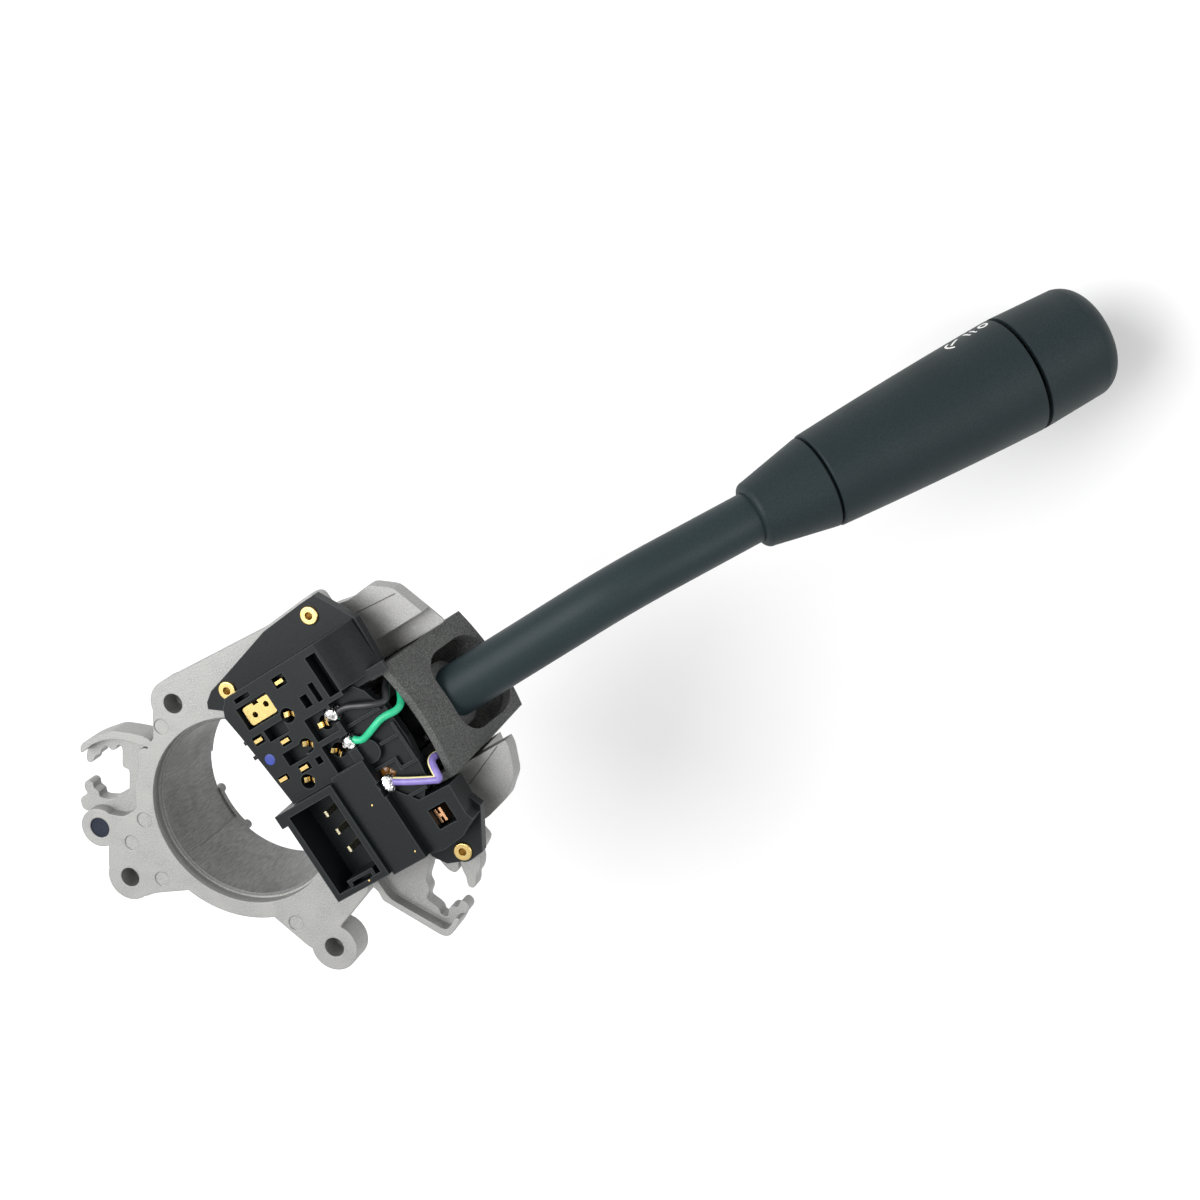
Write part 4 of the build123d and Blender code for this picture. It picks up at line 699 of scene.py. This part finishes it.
# Pixels of the photograph, and width, length and height of the drops there in millimetres
BLUE_DOT_PX, BLUE_DOT_SIZE = (269.9, 759.8), (1.5, 1.45, 0.06)
FLUX_PX, FLUX_SIZE = [(384.5, 771.5), (391.5, 775.0)], (1.5, 1.1, 0.35)
SPECK_PX, SPECK_SIZE = [(369.1, 880.7), (414.9, 851.6), (372.0, 805.7)], (0.32, 0.24, 0.12)
blue = paint("blue_paint", (0.018, 0.04, 0.27), 0.4)
amber = paint("flux_amber", (0.15, 0.060, 0.008), 0.08)
DROPS = [("blue_paint_dot", BLUE_DOT_PX, BLUE_DOT_SIZE, blue, 0.03)]
for number, pixel in enumerate(FLUX_PX):
    DROPS.append((f"flux_{number + 1}", pixel, FLUX_SIZE, amber, 0.3))
for number, pixel in enumerate(SPECK_PX):
    DROPS.append((f"metal_speck_{number + 1}", pixel, SPECK_SIZE, materials["brass"], 0.3))
for name, pixel, size, material, uneven in DROPS:
    add_drop(name, pixel, *(value * MM for value in size), material, uneven)

# Casting lines: thin dark strips on the surface
SEAM_W = 0.28 * MM
SEAM_LIFT = 0.04 * MM
SEAM_STEPS = 16


def add_seam(name, start, end, material):
    """Fine line on one face between two pixels of the photograph."""
    middle = []
    for step in range(SEAM_STEPS + 1):
        share = step / SEAM_STEPS
        pixel = [a + (b - a) * share for a, b in zip(start, end)]
        place, normal = seen_surface(pixel)
        middle.append((place + normal * SEAM_LIFT, normal))
    add_ribbon(name, middle, SEAM_W, 2 * SEAM_LIFT, "root", material)


def add_ribbon(name, middle, width, depth, body, material):
    """Thin strip along places on a surface, each with its outward direction."""
    corners = []
    faces = []
    for i, (place, outward) in enumerate(middle):
        before = middle[max(i - 1, 0)][0]
        after = middle[min(i + 1, len(middle) - 1)][0]
        side = (after - before).cross(outward).normalized() * width / 2
        low = outward * -depth
        corners += [place - side, place + side, place + side + low, place - side + low]
        if i:
            faces += walls(4 * i - 4, 4 * i)
    end = len(corners) - 4
    faces += [(3, 2, 1, 0), (end, end + 1, end + 2, end + 3)]
    add_piece(name, corners, faces, body, material)


dark_line = paint("casting_line", (0.075, 0.077, 0.075), 0.6)
PARTING_PX = ((356.0, 613.0), (395.0, 593.6))
CHEEK_LINE_PX = ((497.0, 746.5), (469.5, 784.0))
add_seam("parting_line", *PARTING_PX, dark_line)
add_seam("cheek_line", *CHEEK_LINE_PX, dark_line)

# Plain white marks on the grip near its seam: strokes laid on its surface
MARK_LIFT = 0.03 * MM
MARK_W = 0.62 * MM
MARK_BASE = handle_at + handle_dir * 77.0 * MM       # the seam, on the handle's axis
MARK_VIEW_PX = (945.0, 345.0)
GRIP_REACH = 0.05                   # from the handle's axis to a place surely outside the grip
view_ahead = ray_to(MARK_VIEW_PX)
mark_up = view_ahead.cross(handle_dir).normalized()
if mark_up.dot(bpy.context.scene.camera.matrix_world.col[1].to_3d()) < 0:
    mark_up = -mark_up
mark_near = -(view_ahead - handle_dir * view_ahead.dot(handle_dir)).normalized()


def on_grip(back, turn):
    """Place on the grip: millimetres back from its seam, degrees from its upper outline."""
    angle = math.radians(turn)
    outward = mark_up * math.cos(angle) + mark_near * math.sin(angle)
    far = MARK_BASE - handle_dir * back * MM + outward * GRIP_REACH
    place, _ = surface(far, -outward)
    return place + outward * MARK_LIFT, outward


def oval(back, turn, half_back, half_turn, angles):
    """Path on the grip along an oval, through these angles in radians."""
    return [
        (back + half_back * math.cos(angle), turn + half_turn * math.sin(angle)) for angle in angles
    ]


white_paint = paint("white_paint", (0.80, 0.80, 0.78), 0.5)
MARKS = {
    "mark_arc": oval(13.0, 20, 1.9, 7, [step / 3 for step in range(-4, 5)]),
    "mark_arc_stem": [(10.8, 13), (12.3, 17), (13.6, 21)],
    "mark_bar_1": [(8.6, 11), (8.3, 16), (8.0, 22)],
    "mark_bar_2": [(6.8, 12), (6.6, 17), (6.4, 23)],
    "mark_ring": oval(3.6, 17, 1.1, 4.2, [step * math.pi / 8 for step in range(17)]),
}
for name, path in MARKS.items():
    strip = [on_grip(*step) for step in path]
    add_ribbon(name, strip, MARK_W, 3 * MARK_LIFT, "lever", white_paint)


# Floor, world and lamps
FLOOR_DROP = 10.5 * MM              # room below the part for the cap at its lowest
FLOOR_Z = cad_low.z - FLOOR_DROP
FLOOR_HALF = 3.0
FLOOR_GREY = 0.76
FLOOR_NEAR, FLOOR_FAR = 0.30, 0.50  # the floor turns plain white over these distances
WORLD_LIGHT = 0.75


def add_floor():
    """Pale floor that keeps the part's soft shadow and is plain white further out."""
    mesh = bpy.data.meshes.new("floor")
    sides = ((-1, -1), (1, -1), (1, 1), (-1, 1))
    corners = [(x * FLOOR_HALF, y * FLOOR_HALF, FLOOR_Z) for x, y in sides]
    mesh.from_pydata(corners, [], [(0, 1, 2, 3)])
    floor = bpy.data.objects.new("floor", mesh)
    bpy.context.scene.collection.objects.link(floor)
    made = Shader("floor")
    made.set(
        Base_Color=(FLOOR_GREY, FLOOR_GREY, FLOOR_GREY, 1), Roughness=0.9, Specular_IOR_Level=0.1
    )
    place = made.node("ShaderNodeNewGeometry")
    distance = made.node("ShaderNodeVectorMath")
    distance.operation = "LENGTH"
    made.links.new(place.outputs["Position"], distance.inputs[0])
    far = made.ramp(distance.outputs["Value"], FLOOR_NEAR, FLOOR_FAR)
    seen = made.node("ShaderNodeLightPath")
    white = made.node("ShaderNodeEmission")
    mixed = made.node("ShaderNodeMixShader")
    made.links.new(made.maths("MULTIPLY", far, seen.outputs["Is Camera Ray"]), mixed.inputs[0])
    made.links.new(made.shader.outputs[0], mixed.inputs[1])
    made.links.new(white.outputs[0], mixed.inputs[2])
    made.links.new(mixed.outputs[0], made.nodes["Material Output"].inputs["Surface"])
    floor.data.materials.append(made.material)


def add_world():
    """Even surroundings, plain white where the camera sees them."""
    world = bpy.data.worlds.new("studio")
    world.use_nodes = True
    nodes, links = world.node_tree.nodes, world.node_tree.links
    back = nodes["Background"]
    back.inputs["Color"].default_value = (1, 1, 1, 1)
    seen = nodes.new("ShaderNodeLightPath")
    strength = nodes.new("ShaderNodeMapRange")
    strength.inputs["To Min"].default_value = WORLD_LIGHT
    strength.inputs["To Max"].default_value = 1.0
    links.new(seen.outputs["Is Camera Ray"], strength.inputs["Value"])
    links.new(strength.outputs["Result"], back.inputs["Strength"])
    bpy.context.scene.world = world


def add_lamp(name, place, target, size, power):
    """Square soft light that faces a target."""
    data = bpy.data.lights.new(name, "AREA")
    data.size = size
    data.energy = power
    lamp = bpy.data.objects.new(name, data)
    bpy.context.scene.collection.objects.link(lamp)
    lamp.location = place
    lamp.rotation_mode = "QUATERNION"
    lamp.rotation_quaternion = (Vector(target) - Vector(place)).to_track_quat("-Z", "Y")


add_floor()
add_world()
middle = (cad_low + cad_high) / 2
# Offset from the part's middle in metres, side in metres and power in watts
add_lamp("key", middle + Vector((-0.25, 0.35, 0.75)), middle, 0.7, 9.0)
add_lamp("fill", middle + Vector((0.75, -0.35, 0.55)), middle, 0.6, 3.0)
bpy.context.scene.view_settings.view_transform = "Standard"
